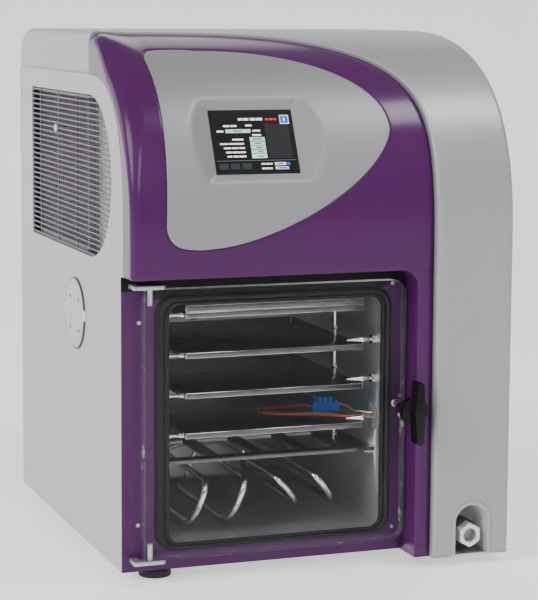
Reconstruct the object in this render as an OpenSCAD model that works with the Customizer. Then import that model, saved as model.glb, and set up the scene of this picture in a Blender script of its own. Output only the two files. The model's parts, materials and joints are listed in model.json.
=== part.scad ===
// Bench-top shelf freeze dryer: clear hinged door over a steel drying chamber,
// purple rolled fascia with a touch screen, silver moulded shell and side vent.
// Cabinet frame: X from the left side, Y back from the door plane, Z up from the underside.

/* [Cabinet] */
// Width across the two side faces
body_w = 610; // [580:5:740]
// Depth from the door plane to the back of the rear panel
body_d = 640; // [620:5:780]
// Height from the underside to the roof
body_h = 811; // [770:1:980]
// Thickness of the sheet metal panels
sheet_t = 2; // [1.5:0.1:2.4]
// Wall of the moulded shell and fascia
mould_t = 4; // [3:0.5:5]
// Height of the levelling feet
foot_h = 16; // [12:1:24]

/* [Rolled front] */
// How far the silver column stands in front of the door plane
column_proud = 73.5; // [70:0.5:82]
// How far the purple fascia stands in front of the door plane
fascia_proud = 59; // [55:0.5:64]
// Height at which the front starts to roll back
roll_base = 480; // [465:5:500]
// Distance behind the door plane at which the roll meets the roof
roll_back = 344; // [320:2:380]
// Squareness of the roll
roll_power = 2.7; // [2.4:0.1:3]
// Height of the seam between the side panels and the shell
seam_z = 744; // [735:1:750]

/* [Door bay] */
// Width of the door bay, from the left side
bay_w = 455; // [450:1:475]
// Height of the door bay
bay_h = 450; // [446:1:460]
// Width of the purple strip to the right of the bay
strip_w = 25; // [20:1:32]
// Left and right edges of the chamber mouth
mouth_x = [72, 420];
// Bottom and top edges of the chamber mouth
mouth_z = [38, 406];
// Corner radius of the chamber mouth
mouth_r = 17; // [12:1:17]
// Depth of the drying chamber
chamber_d = 400; // [370:5:440]
// Wall of the chamber
chamber_t = 3; // [2:0.5:4]
// Front to back thickness of the door gasket
gasket_t = 7.7; // [6:0.1:9]

/* [Door] */
// Thickness of the clear door
door_t = 19; // [15:0.5:23]
// Diameter of the hinge pins
pin_d = 8; // [6:0.5:10]
// Gap between the door and what it closes on
door_gap = 0.3; // [0.2:0.1:0.6]
// Height of the latch knob
latch_z = 236; // [200:1:270]
// Diameter of the latch spindle in the door
spindle_d = 8; // [6:0.5:9.5]
// Length of the knob's wing
wing_l = 97; // [80:1:110]

/* [Shelves] */
// Thickness of a shelf
shelf_t = 9; // [7:0.5:12]
// Distance from one shelf to the next
shelf_pitch = 62; // [58:1:65]
// Height of the top face of the lowest shelf
shelf_low_z = 203; // [200:1:206]
// Depth of a shelf
shelf_d = 310; // [280:5:330]
// Diameter of the condenser tube
coil_d = 9.5; // [8:0.5:11]
// Diameter of a probe lead
lead_d = 3; // [2.5:0.1:3.4]

/* [Side vent] */
// Radius of the vent's round front end
vent_r = 126; // [115:1:132]
// Number of bars in the vent
vent_bars = 30; // [24:1:34]
// Thickness of one vent bar
bar_t = 2.8; // [2:0.1:3.5]
// Diameter of the round port cover on the side
port_cover_d = 115; // [100:1:130]

/* [Hidden] */
$fn = 48;

silver = "#b4b4b6";
purple = "#5a2f68";
steel = "#9a9c9e";
dark_steel = "#4c4e50";
black = "#242424";
white = "#e4e2dc";

gap = 0.3;
slip = 0.05;
eps = 1;

// Moulded front: the fascia's outline, its window and the tilted screen behind it
column_x = bay_w + strip_w + gap;
rim_w = 30;
fascia_top = body_h - 4;
fascia_rear = 302;
outline_base = body_h - 226;
outline_power = 4.5;
edge_y = 172;
edge_base = 520;
edge_lead = 11;
leaf_tip = [419, body_h - 143];
leaf_z = [bay_h + 45, body_h - 30];
screen_z = body_h - 163;
screen_depth = 16;
screen_lean = 2 + atan((front_y(screen_z + 20) - front_y(screen_z - 20)) / 40);
screen_w = 131;
screen_h = 102;
screen_t = 3;
window_x = [102, 302];
window_z = [screen_z - 71, screen_z + 74];

// Side openings
vent_z = 587;
vent_y = [50, 552];
port_place = [262, 360];
cover_t = 3;
screw_head = 1.2;

// Door, hinge and latch
door_x = [29, bay_w - 6];
door_z = [22, bay_h - 18];
door_back = -(gasket_t + door_gap);
door_front = door_back - door_t;
hinge_x = 39;
hinge_y = (door_back + door_front) / 2;
hinge_depth = 25;
arm_t = 6;
arm_x = [12, 24];
latch_x = bay_w - 14;
collar_r = 6;
hub_y = door_front - 21;
hub_r = 12.5;
wing_y = [-107, -84];
keeper_r = spindle_d / 2 + 0.8;

// Chamber, shelves and what lies on them
chamber_back = sheet_t + chamber_d;
gasket_x = [mouth_x[0] - 21, mouth_x[1] + 15.5];
gasket_z = [mouth_z[0] - 9, mouth_z[1] + 14];
shelf_x = [mouth_x[0] + 35, mouth_x[1] - 22];
shelf_y = 20;
stay_x = shelf_x[1] - 20;
stay_y = [90, 290];
stay_r = 2.5;
fitting_y = 26;
baffle_top = 162;
baffle_t = 6;
coil_pitch = 64;
coil_count = 4;
coil_z = [mouth_z[0] + 12, mouth_z[0] + 84];
coil_x = (mouth_x[0] + mouth_x[1] - coil_pitch * (coil_count - 1)) / 2 - 2;
port_center = [30, shelf_low_z + 7];
port_t = 4;
connector_x = [350, 396];
connector_y = [112, 136];
connector_h = 24;

// Drain, upper machinery and rear fittings
drain_x = (column_x + body_w) / 2 + 1.35;
drain_z = 30;
drain_bore_r = 10.5;
deck_z = bay_h - 4;
fan_y = 386;
fan_r = 108;
fan_shaft_r = 4;
vacuum_x = 245;
vacuum_z = 330;
vacuum_bore_r = 12.5;
vacuum_pipe_r = 14;
vacuum_reach = 30;
inlet_x = 520;
inlet_z = 90;
rocker_z = 140;
rocker_tilt = 8;
rocker_pin_r = 2;
compressor_place = [430, (chamber_back + body_d) / 2 + 2];
compressor_r = min(85, (body_d - chamber_back) / 2 - 30);

// The bounding box is centred on the origin and the feet stand at height zero
x_mid = (body_w + screw_head - cover_t) / 2;
y_mid = (body_d + vacuum_reach + wing_y[0]) / 2;

// Places a piece from the cabinet frame into the model's own frame
module place() {
  translate([-x_mid, -y_mid, foot_h]) children();
}

function grow(range, by) = [range[0] - by, range[1] + by];
function near(at, range) = [at + range[0], at + range[1]];

// A box given by its ranges along X, Y and Z
module slab(x, y, z) {
  translate([x[0], y[0], z[0]])
    cube([x[1] - x[0], y[1] - y[0], z[1] - z[0]]);
}

// Round bars along each axis, from the lower to the upper end of a range
module rod_x(x, y, z, r) {
  translate([x[0], y, z])
    rotate([0, 90, 0])
      cylinder(r = r, h = x[1] - x[0]);
}

module rod_y(x, y, z, r) {
  translate([x, y[1], z])
    rotate([90, 0, 0])
      cylinder(r = r, h = y[1] - y[0]);
}

module rod_z(x, y, z, r) {
  translate([x, y, z[0]])
    cylinder(r = r, h = z[1] - z[0]);
}

// Rectangle with true arcs at its corners
module rounded(x, z, r) {
  translate([x[0] + r, z[0]])
    square([x[1] - x[0] - 2 * r, z[1] - z[0]]);
  translate([x[0], z[0] + r])
    square([x[1] - x[0], z[1] - z[0] - 2 * r]);
  for (cx = [x[0] + r, x[1] - r], cz = [z[0] + r, z[1] - r])
    translate([cx, cz]) circle(r);
}

// Carries a front-view outline through a range of Y
module along_y(y) {
  translate([0, y[1], 0])
    rotate([90, 0, 0])
      linear_extrude(y[1] - y[0]) children();
}

// Carries a side-view outline, drawn as Y and Z, through a range of X
module along_x(x) {
  translate([x[0], 0, 0])
    rotate([90, 0, 90])
      linear_extrude(x[1] - x[0]) children();
}

// Quarter superellipse from the end of semi-axis a to the end of semi-axis b
function quarter(cx, cy, a, b, power, steps) = [
  for (i = [0:steps])
    let (t = 90 * i / steps)
    [cx + a * pow(cos(t), 2 / power), cy + b * pow(sin(t), 2 / power)]
];

// Side view of everything behind a rolled front face and under a roof
module roll_outline(front, roof, rear = body_d) {
  polygon(concat(
    [[rear, -eps], [front, -eps]],
    quarter(roll_back, roll_base, front - roll_back, roof - roll_base, roll_power, 20),
    [[rear, roof]]));
}

// Where the fascia's rolled face stands at a height
function front_y(z) =
  roll_back - (roll_back + fascia_proud)
    * pow(1 - pow((z - roll_base) / (fascia_top - roll_base), roll_power), 1 / roll_power);

// Front view of the purple fascia, grown by an amount
module fascia_outline(by) {
  polygon(concat(
    [[-10, -10], [bay_w + strip_w + by, -10]],
    quarter(0, outline_base, bay_w + strip_w + by, fascia_top - outline_base + by,
      outline_power, 20),
    [[-10, fascia_top + by]]));
}

// Plan view of the fascia's rear edge on the roof, grown by an amount
module fascia_plan(by) {
  polygon(concat(
    [[-10, -100], [body_w, -100], [body_w, fascia_rear + by]],
    [for (i = [8:-1:0]) quarter(150, edge_y + by, -150, fascia_rear - edge_y, 2, 8)[i]],
    [[-10, edge_y + by]]));
}

// Side view of what lies behind the side panel's rolled front edge, moved forward by an amount
module panel_side(by, top) {
  polygon(concat(
    [[body_d, 0], [sheet_t - by, 0], [sheet_t - by, bay_h], [-edge_lead - by, bay_h]],
    quarter(edge_y, edge_base, -(edge_y + edge_lead) - by, seam_z - edge_base, 2.5, 16),
    [[edge_y - by, seam_z], [edge_y - by, top], [body_d, top]]));
}

// Places children in the tilted plane of the screen: local Z points out of the glass
module at_screen() {
  translate([202, front_y(screen_z) + screen_depth, screen_z])
    rotate([90 - screen_lean, 0, 0]) children();
}

// A centred rectangular block in the screen's plane
module screen_block(w, h, z) {
  translate([-w / 2, -h / 2, z[0]])
    cube([w, h, z[1] - z[0]]);
}

// Unit vectors and carried frames for swept tubes
function unit(v) = v / norm(v);
function heading(p, i) = unit(p[min(i + 1, len(p) - 1)] - p[max(i - 1, 0)]);
function carried(p, i, n) =
  let (t = heading(p, i), m = unit(n - (n * t) * t))
  i == len(p) - 1 ? [m] : concat([m], carried(p, i + 1, m));

// A closed tube of flat sides swept along a list of points
module tube(p, r, sides, up) {
  normals = carried(p, 0, up);
  rings = [
    for (i = [0:len(p) - 1])
      let (b = cross(heading(p, i), normals[i]))
      for (k = [0:sides - 1])
        p[i] + r * (cos(360 * k / sides) * normals[i] + sin(360 * k / sides) * b)
  ];
  last = (len(p) - 1) * sides;
  walls = [
    for (i = [0:len(p) - 2], k = [0:sides - 1])
      let (a = i * sides + k, b = i * sides + (k + 1) % sides)
      [a, b, b + sides, a + sides]
  ];
  polyhedron(rings, concat(
    [[for (k = [0:sides - 1]) sides - 1 - k]],
    walls,
    [[for (k = [0:sides - 1]) last + k]]), convexity = 8);
}

// Pressed floor of the cabinet with a turned-up edge; it runs on under the column
module base_pan() {
  inside = [sheet_t, body_w - sheet_t];
  color(steel) place() difference() {
    union() {
      slab(inside, [sheet_t + gap, body_d - sheet_t], [0, sheet_t]);
      slab([column_x + mould_t + gap, body_w - mould_t - gap], [-column_proud + mould_t + gap, sheet_t + gap],
        [0, sheet_t]);
      for (x = [sheet_t, body_w - 2 * sheet_t])
        slab([x, x + sheet_t], [sheet_t + 8, body_d - sheet_t], [0, 22]);
      slab(inside, [body_d - 2 * sheet_t, body_d - sheet_t], [0, 22]);
    }
    for (p = foot_places())
      rod_z(p[0], p[1], [-eps, sheet_t + eps], 4 + slip);
  }
}

function foot_places() = [for (x = [62, body_w - 62], y = [34, body_d - 40]) [x, y]];

module leveling_feet() {
  color(black) place()
    for (p = foot_places()) {
      rod_z(p[0], p[1], [-foot_h, -4], 25);
      rod_z(p[0], p[1], [-4, 0], 12);
      rod_z(p[0], p[1], [0, 12], 4);
    }
}

// The vent's outline: round front end and small corners at the rear
module vent_outline(by) {
  translate([vent_y[0] + vent_r, vent_z]) circle(vent_r + by);
  rounded([vent_y[0] + vent_r, vent_y[1] + by], [vent_z - vent_r - by, vent_z + vent_r + by], 8);
  translate([vent_y[0] + vent_r - 1, vent_z - vent_r - by]) square([20, 2 * (vent_r + by)]);
}

module left_side_panel() {
  color(silver) place() difference() {
    along_x([0, sheet_t]) panel_side(0, seam_z);
    along_x([-eps, sheet_t + eps]) vent_outline(0);
    rod_x([-eps, sheet_t + eps], port_place[0], port_place[1], port_cover_d / 2 - 16);
    for (z = panel_screw_z())
      rod_x([-eps, sheet_t + eps], body_d - 9, z, 2 + slip);
  }
}

// Bars in front of a flat flange that is fixed behind the side panel
module side_vent_grille() {
  pitch = 2 * vent_r / vent_bars;
  color("#a098a4") place() {
    difference() {
      along_x([sheet_t, sheet_t + 3]) vent_outline(9);
      along_x([sheet_t - eps, sheet_t + 3 + eps]) vent_outline(-1.5);
    }
    intersection() {
      along_x([0.4, sheet_t + 3]) vent_outline(-1);
      union() {
        for (i = [0:vent_bars - 1])
          slab([0.4, sheet_t + 1.6], [0, body_d], near(vent_z - vent_r + pitch * (i + 0.3), [0, bar_t]));
        for (y = [vent_y[0] + 90 : 120 : vent_y[1] - 20])
          slab([sheet_t, sheet_t + 3], [y, y + 3], [vent_z - vent_r, vent_z + vent_r]);
      }
    }
  }
}

module vent_screw() {
  color(white) place() {
    rod_x([-1, 0.4], 385, 650, 6.5);
    rod_x([-1.6, -1], 385, 650, 4.5);
  }
}

module side_port_cover() {
  color(silver) place() difference() {
    rod_x([-cover_t, 0], port_place[0], port_place[1], port_cover_d / 2);
    for (s = port_screw_places()) {
      rod_x([-cover_t - eps, eps], s[0], s[1], 2 + slip);
      rod_x([-cover_t - eps, screw_head - cover_t], s[0], s[1], 4 + slip);
    }
  }
}

function port_screw_places() = [
  for (dy = [-26, 26], dz = [-25, 25]) [port_place[0] + dy, port_place[1] + dz]
];

// Pan-head screws: the shank runs into the cabinet and the head lies outside
module side_screw(x, y, z, inward) {
  rod_x(inward > 0 ? [x - screw_head, x] : [x, x + screw_head], y, z, 4);
  rod_x(inward > 0 ? [x, x + 8] : [x - 8, x], y, z, 2);
}

module port_cover_screws() {
  color("#3c3c3c") place()
    for (s = port_screw_places()) difference() {
      side_screw(screw_head - cover_t, s[0], s[1], 1);
      for (dy = [-2, 2])
        rod_x([-cover_t - eps, 0.8 - cover_t], s[0] + dy, s[1], 0.9);
    }
}

function panel_screw_z() = [32, 409, 700];

module panel_screws() {
  color("#3c3c3c") place()
    for (z = panel_screw_z()) {
      side_screw(0, body_d - 9, z, 1);
      side_screw(body_w, body_d - 9, z, -1);
    }
}

module right_side_panel() {
  color(silver) place() difference() {
    along_x([body_w - sheet_t, body_w]) panel_side(0, seam_z);
    for (z = [500:22:676])
      along_x([body_w - sheet_t - eps, body_w + eps]) rounded([240, 500], [z, z + 8], 3);
    for (z = panel_screw_z())
      rod_x([body_w - sheet_t - eps, body_w + eps], body_d - 9, z, 2 + slip);
  }
}

module rear_panel() {
  inside = mould_t + gap;
  color(steel) place() difference() {
    union() {
      slab([sheet_t, body_w - sheet_t], [body_d - sheet_t, body_d], [0, seam_z]);
      slab([inside, body_w - inside], [body_d - sheet_t, body_d], [seam_z - eps, body_h - inside]);
    }
    for (z = [500:20:680])
      along_y([body_d - sheet_t - eps, body_d + eps]) rounded([90, 330], [z, z + 8], 3);
    rod_y(vacuum_x, [body_d - sheet_t - eps, body_d + eps], vacuum_z, vacuum_pipe_r + gap);
    slab(near(inlet_x, [-24, 24]), [body_d - sheet_t - eps, body_d + eps], near(inlet_z, [-14, 14]));
    slab(near(inlet_x, [-15, 15]), [body_d - sheet_t - eps, body_d + eps], near(rocker_z, [-11, 11]));
  }
}

// Roof, rolled front, right flank and column moulded in one piece
module silver_shell() {
  color(silver) place() difference() {
    intersection() {
      along_x([0, body_w]) roll_outline(-column_proud, body_h);
      union() {
        slab([0, body_w], [-100, body_d], [seam_z + gap, body_h]);
        slab([bay_w - 30, body_w], [-100, body_d], [0, body_h]);
      }
    }
    // The right side panel takes the place of the flank behind its curved edge
    along_x([body_w - mould_t - eps, body_w + eps]) panel_side(gap, seam_z + gap);
    // Opening that the fascia fills, back to its rear edge on the roof
    intersection() {
      along_y([-200, fascia_rear + 5]) fascia_outline(gap);
      translate([0, 0, -eps]) linear_extrude(body_h + 2) fascia_plan(gap);
    }
    // Hollow inside, with a rim left standing around the opening
    difference() {
      along_x([mould_t, body_w - mould_t])
        roll_outline(-column_proud + mould_t, body_h - mould_t, body_d + eps);
      difference() {
        intersection() {
          along_y([-200, fascia_rear + 8]) fascia_outline(gap + mould_t);
          translate([0, 0, -eps]) linear_extrude(body_h + 2) fascia_plan(gap + mould_t);
        }
        along_x([-eps, body_w]) roll_outline(-column_proud + rim_w, body_h - rim_w);
      }
    }
    drain_arch(34.5, 52.5, [-column_proud - eps, -column_proud + mould_t + eps]);
  }
}

// Arch with straight sides, standing on the underside
module drain_arch(r, top_z, y) {
  along_y(y) {
    translate([drain_x, top_z]) circle(r);
    translate([drain_x - r, -eps]) square([2 * r, top_z + eps]);
  }
}

// Purple moulding: rolled panel over the bay, strip and return wall beside it
module upper_fascia() {
  inner = bay_w + mould_t;
  color(purple) place() difference() {
    intersection() {
      union() {
        slab([0, bay_w + strip_w], [-fascia_proud, fascia_rear], [bay_h, fascia_top]);
        slab([bay_w, bay_w + strip_w], [-fascia_proud, 0], [0, bay_h + eps]);
        along_y([-fascia_proud, 0]) bay_corner(25);
      }
      along_x([-eps, body_w]) roll_outline(-fascia_proud, fascia_top);
      along_y([-200, fascia_rear]) fascia_outline(0);
      translate([0, 0, -eps]) linear_extrude(body_h) fascia_plan(0);
    }
    // The flank stops at the side panel's curved edge
    along_x([-eps, mould_t + eps]) panel_side(gap, seam_z + gap);
    // Hollow behind the rolled panel, with a rim left along its right and rear edges
    intersection() {
      slab([mould_t, body_w], [-100, fascia_rear + eps], [bay_h + mould_t, fascia_top]);
      along_x([0, body_w]) roll_outline(-fascia_proud + mould_t, fascia_top - mould_t);
      union() {
        along_y([-200, fascia_rear + eps]) fascia_outline(-mould_t);
        along_x([0, body_w]) roll_outline(-fascia_proud + rim_w, fascia_top - rim_w);
      }
    }
    slab([mould_t, body_w], [0, fascia_rear + eps], [bay_h - eps, bay_h + mould_t + eps]);
    // Hollow behind the strip
    slab([inner, bay_w + strip_w - mould_t], [-fascia_proud + mould_t, eps], [-eps, bay_h + mould_t + eps]);
    // Window for the dish of the control inset
    along_y([-fascia_proud - eps, 120]) rounded(window_x, window_z, 10);
  }
}

// Fillet that fills the bay's upper right corner
module bay_corner(r) {
  difference() {
    translate([bay_w - r, bay_h - r]) square([r, r + eps]);
    translate([bay_w - r, bay_h - r]) circle(r);
  }
}

module door_surround() {
  color(purple) place() difference() {
    union() {
      slab([0, bay_w + strip_w], [0, sheet_t], [0, bay_h]);
      slab([mould_t + gap, bay_w + strip_w], [0, sheet_t], [bay_h - eps, bay_h + mould_t]);
    }
    along_y([-eps, sheet_t + eps]) rounded(mouth_x, mouth_z, mouth_r);
    rod_y(latch_x, [-eps, sheet_t + eps], latch_z, keeper_r);
    for (z = arm_heights())
      slab(grow(arm_x, 1), [-eps, sheet_t + eps], near(z, [-1, arm_t + 1]));
    for (s = surround_screw_places())
      rod_y(s[0], [-eps, sheet_t + eps], s[1], 1.5 + slip);
  }
}

function surround_screw_places() = [[27, 380], [25, 72], [437.5, 424], [441, 37]];

module surround_screws() {
  color(steel) place()
    for (s = surround_screw_places()) {
      rod_y(s[0], [-1.2, 0], s[1], 3);
      rod_y(s[0], [-1.8, -1.2], s[1], 2);
      rod_y(s[0], [0, 7], s[1], 1.5);
    }
}

// Front view of the grey inset: straight left side, rounded corners and a pointed right end
module leaf_outline() {
  tip = leaf_tip;
  lower = quarter(130, tip[1], tip[0] - 130, leaf_z[0] - tip[1], 1.5, 14);
  polygon(concat(
    [for (a = [180:18:252]) [79 + 26 * cos(a), leaf_z[0] + 26 * (1 + sin(a))]],
    [for (i = [14:-1:0]) lower[i]],
    quarter(150, tip[1], tip[0] - 150, leaf_z[1] - tip[1], 2.25, 14),
    [for (a = [90:18:162]) [80 + 18 * cos(a), leaf_z[1] - 18 * (1 - sin(a))]]));
}

// Grey inset: a skin on the fascia with a dish around the screen
module control_inset() {
  skin = 1.5;
  tub = 20;
  color("#a0a0a2") place() difference() {
    intersection() {
      along_y([-200, 200]) leaf_outline();
      along_x([0, bay_w]) roll_outline(-fascia_proud - skin, fascia_top + skin);
    }
    // Everything behind the skin, apart from the dish's own walls
    difference() {
      along_x([-eps, bay_w + eps]) roll_outline(-fascia_proud, fascia_top);
      intersection() {
        along_y([-200, 150])
          rounded(grow(window_x, -gap), grow(window_z, -gap), 10);
        difference() {
          along_x([0, bay_w]) roll_outline(-fascia_proud, fascia_top);
          along_x([-eps, bay_w + eps]) roll_outline(-fascia_proud + tub, fascia_top - tub);
        }
      }
    }
    at_screen() {
      hull() {
        screen_block(screen_w + 2, screen_h + 2, [0, 0.1]);
        screen_block(screen_w + 189, screen_h + 189, [40, 40.1]);
      }
      screen_block(screen_w + 2 * gap, screen_h + 2 * gap, [-40, 1]);
    }
  }
}

module touchscreen() {
  color(black) place() at_screen()
    screen_block(screen_w, screen_h, [-screen_t, 0]);
}

module display_module() {
  color(dark_steel) place() at_screen() {
    screen_block(screen_w - 6, screen_h - 6, [-18, -screen_t]);
    screen_block(screen_w + 18, screen_h + 14, [-35, -18]);
  }
}

// Welded steel box with ledges for the baffle; the drain and vacuum holes are in its back
module chamber_tank() {
  back = chamber_back;
  color(dark_steel) place() {
    difference() {
      along_y([sheet_t, back + chamber_t])
        rounded(grow(mouth_x, chamber_t), grow(mouth_z, chamber_t), mouth_r + chamber_t);
      along_y([sheet_t - eps, back]) rounded(mouth_x, mouth_z, mouth_r);
      rod_y(vacuum_x, [back - eps, back + chamber_t + eps], vacuum_z, vacuum_bore_r);
      rod_x([mouth_x[1] - 10, mouth_x[1] + chamber_t + eps], port_center[0], port_center[1], 6);
    }
    for (x = [mouth_x[0], mouth_x[1] - 12])
      slab([x, x + 12], [shelf_y + 6, shelf_y + shelf_d - 6],
        [baffle_top - baffle_t - 4, baffle_top - baffle_t]);
  }
}

module chamber_flange() {
  color(steel) place() difference() {
    along_y([sheet_t, sheet_t + 10]) rounded(grow(mouth_x, 14), grow(mouth_z, 12), 25);
    along_y([sheet_t - eps, sheet_t + 10 + eps])
      rounded(grow(mouth_x, chamber_t), grow(mouth_z, chamber_t), mouth_r + chamber_t);
  }
}

// Rubber ring: a flat foot on the surround and a narrower sealing roll in front of it
module door_gasket() {
  color(black) place() difference() {
    union() {
      along_y([-2.5, 0]) rounded(gasket_x, gasket_z, 30);
      along_y([-gasket_t, -2.5]) rounded(grow(gasket_x, -3), grow(gasket_z, -3), 27);
    }
    along_y([-gasket_t - eps, eps]) rounded(grow(mouth_x, -2), grow(mouth_z, -2), mouth_r);
  }
}

module chamber_brackets() {
  top = mouth_z[0] - chamber_t;
  color(steel) place()
    for (y = [60, 320]) difference() {
      slab(grow(mouth_x, -28), [y, y + 36], [sheet_t, top]);
      slab(mouth_x, [y + 2, y + 34], [sheet_t + 2, top - 2]);
    }
}

module top_plate() {
  low = shelf_top(1) + 0.5;
  color(steel) place() {
    slab(shelf_x, [shelf_y, shelf_y + shelf_d], [low, low + 10]);
    for (x = grow(shelf_x, -33), y = [60, 280])
      rod_z(x, y, [low + 10, mouth_z[1]], 8);
  }
}

function shelf_top(level) = shelf_low_z + shelf_pitch * (4 - level);

// Flat hollow shelf with holes for the stay rods where they pass
module shelf(level) {
  top = shelf_top(level);
  color(steel) place() difference() {
    slab(shelf_x, [shelf_y, shelf_y + shelf_d], [top - shelf_t, top]);
    if (level < 3)
      for (y = stay_y)
        rod_z(stay_x, y, [top - shelf_t - eps, top + eps], stay_r + slip);
  }
}

// Necked studs that carry the shelves on the chamber's left wall
module shelf_studs() {
  color(steel) place()
    for (level = [1:4], y = [30, 300]) {
      z = shelf_top(level) - shelf_t / 2;
      rod_x([mouth_x[0], mouth_x[0] + 12], y, z, 4.4);
      rod_x([mouth_x[0] + 12, shelf_x[0] - 8], y, z, 2.5);
      rod_x([shelf_x[0] - 8, shelf_x[0]], y, z, 4.4);
    }
}

// Ball-ended hose fittings above the lower shelves; the lowest one starts at the probe port
module shelf_fittings() {
  ball_r = 6;
  ball_x = shelf_x[1] + 1;
  color("#d8d8da") place()
    for (level = [2:4]) {
      wall = (level < 4 ? mouth_x[1] : mouth_x[1] - port_t) - ball_x;
      boss = level < 4 ? [[3, wall - 7], [7.5, wall - 7], [7.5, wall]] : [[3, wall]];
      translate([ball_x, fitting_y, shelf_top(level) + ball_r + gap])
        rotate([0, 90, 0])
          rotate_extrude()
            polygon(concat(
              [[0, -27], [1.5, -27]],
              [for (a = [-33:15.5:60]) [ball_r * cos(a), ball_r * sin(a)]],
              boss,
              [[0, wall]]));
    }
}

module stay_rods() {
  color("#d8d8da") place()
    for (y = stay_y) {
      rod_z(stay_x, y, [shelf_top(3), shelf_top(1) + 0.5], stay_r);
      rod_z(stay_x, y, [baffle_top, shelf_top(4) - shelf_t], stay_r);
    }
}

module stay_nuts() {
  color("#d8d8da") place()
    for (y = stay_y, z = [shelf_top(2) + 14, shelf_top(3) + 14, baffle_top + 6])
      difference() {
        translate([stay_x, y, z]) cylinder(r = 5.5, h = 6, $fn = 6);
        rod_z(stay_x, y, near(z, [-eps, 7]), stay_r + slip);
      }
}

// Plate with rectangular windows over the condenser; the stay posts stand on its right border
module baffle_frame() {
  x = grow(mouth_x, -1.5);
  window = 55;
  bar = 20;
  color(steel) place() difference() {
    slab(x, [shelf_y, shelf_y + shelf_d], [baffle_top - baffle_t, baffle_top]);
    for (x0 = [x[0] + bar : window + bar : stay_x - 2 * bar], y = [shelf_y + 24, shelf_y + shelf_d / 2 + 12])
      slab([x0, min(x0 + window, stay_x - 11)], [y, y + shelf_d / 2 - 36],
        [baffle_top - baffle_t - eps, baffle_top + eps]);
  }
}

// Route of the condenser tube: forward on top, down and under, and across at the back
function coil_loop(x) =
  let (
    front = 38,
    back = chamber_back - 82,
    high = coil_z[1],
    low = coil_z[0],
    bend = 20,
    sweep = high - low - bend)
  concat(
    [[x - 6, back, high], [x, back - 24, high], [x, front + bend + 60, high]],
    [for (i = [0:4]) let (t = 22.5 * i)
      [x, front + bend - bend * sin(t), high - bend + bend * cos(t)]],
    [for (i = [1:6]) let (t = 15 * i)
      [x, front + sweep - sweep * cos(t), high - bend - sweep * sin(t)]],
    [[x, front + sweep + 60, low], [x, back - 24, low], [x + 6, back, low]],
    [[x + coil_pitch * 0.32, back + 20, low + 14], [x + coil_pitch * 0.6, back + 20, high - 14]]);

function coil_route() =
  let (
    wall = chamber_back,
    all = [for (i = [0:coil_count - 1], p = coil_loop(coil_x + coil_pitch * i)) p],
    n = len(all) - 3,
    last = coil_x + coil_pitch * (coil_count - 1))
  concat([[coil_x, wall, coil_z[1]]], [for (i = [1:n - 1]) all[i]], [[last, wall, coil_z[0]]]);

// Bent stainless tube that runs out through the back wall at both ends
module condenser_coil() {
  color("#c8c8ca") place()
    tube(coil_route(), coil_d / 2, 10, [1, 0, 0]);
}

module probe_port() {
  color("#cfd2d4") place()
    rod_x([mouth_x[1] - port_t, mouth_x[1]], port_center[0], port_center[1], 21);
}

module probe_connector() {
  z = shelf_top(4);
  color("#1668e0") place() {
    slab(connector_x, connector_y, [z, z + connector_h - 6]);
    slab([connector_x[0] + 6, connector_x[1] - 10], connector_y, near(z, [connector_h - 6, connector_h]));
  }
}

// Probe leads, with heights above the lowest shelf: out of the port, along the shelf in a loop
// and into the connector
lead_a_points = [[416, 32, 9], [410, 32, 9], [397, 40, 7], [386, 52, 4], [374, 70, 2],
  [358, 86, 1.7], [338, 96, 1.7], [315, 102, 1.7], [292, 110, 1.7], [276, 124, 1.7],
  [270, 142, 1.7], [275, 160, 1.7], [288, 171, 1.7], [305, 172, 2], [321, 164, 4],
  [333, 151, 7], [341, 137, 10], [346, 130, 11], [350, 130, 11]];
lead_b_points = [[416, 39, 3], [410, 39, 3], [399, 50, 2], [391, 62, 1.7], [380, 79, 1.7],
  [364, 95, 1.7], [342, 104, 1.7], [318, 109, 1.7], [297, 117, 1.7], [283, 130, 1.7],
  [278, 144, 1.7], [283, 157, 1.7], [294, 163, 1.7], [307, 162, 2], [319, 154, 4],
  [330, 140, 7], [338, 127, 10], [345, 119, 11], [350, 119, 11]];
lead_c_points = [[416, 24, 14], [411, 24, 14], [404, 31, 14], [402, 44, 13], [404, 60, 9],
  [408, 78, 6], [410, 96, 6], [409, 112, 8], [402, 122, 10], [396, 122, 10]];

module probe_lead(route, radius, tint) {
  color(tint) place()
    translate([0, 0, shelf_low_z])
      tube(route, radius, 8, [0, 0, 1]);
}

// Moulded pocket behind the arch, open at the front and below
module drain_pocket() {
  front = -column_proud + 2;
  back = -14;
  color(silver) place() difference() {
    union() {
      drain_arch(34.2, 52.5, [front, front + 2]);
      drain_arch(30.5, 51.5, [front, back]);
    }
    drain_arch(27.5, 51.5, [front - eps, back - 3]);
    slab(near(drain_x, [-40, 40]), [front - eps, back + eps], [-10, 0]);
    slab(near(drain_x, [-27.5, 27.5]), [front - eps, back - 3], [-10, sheet_t + gap]);
    rod_y(drain_x, [back - 4, back + eps], drain_z, 13);
    slab([drain_x - 40, drain_x + 40], [front + 2 + gap, back + eps], [-eps, sheet_t + gap]);
  }
}

// Ribbed hose tail behind the nut
module drain_collar() {
  color("#5a5a5c") place() difference() {
    union() {
      rod_y(drain_x, [-50, -17], drain_z, 16);
      for (y = [-48, -40, -32, -24])
        rod_y(drain_x, [y, y + 4], drain_z, 18.5);
      rod_y(drain_x, [-18, 10], drain_z, 13 - slip);
    }
    rod_y(drain_x, [-51, 11], drain_z, drain_bore_r);
  }
}

module drain_nut() {
  color("#d6d6d6") place() difference() {
    translate([drain_x, -50, drain_z])
      rotate([90, 0, 0])
        cylinder(r = 21, h = 17, $fn = 6);
    rod_y(drain_x, [-68, -49], drain_z, drain_bore_r);
  }
}

function arm_heights() = [door_z[0] - gap - arm_t, door_z[1] + gap];

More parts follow.
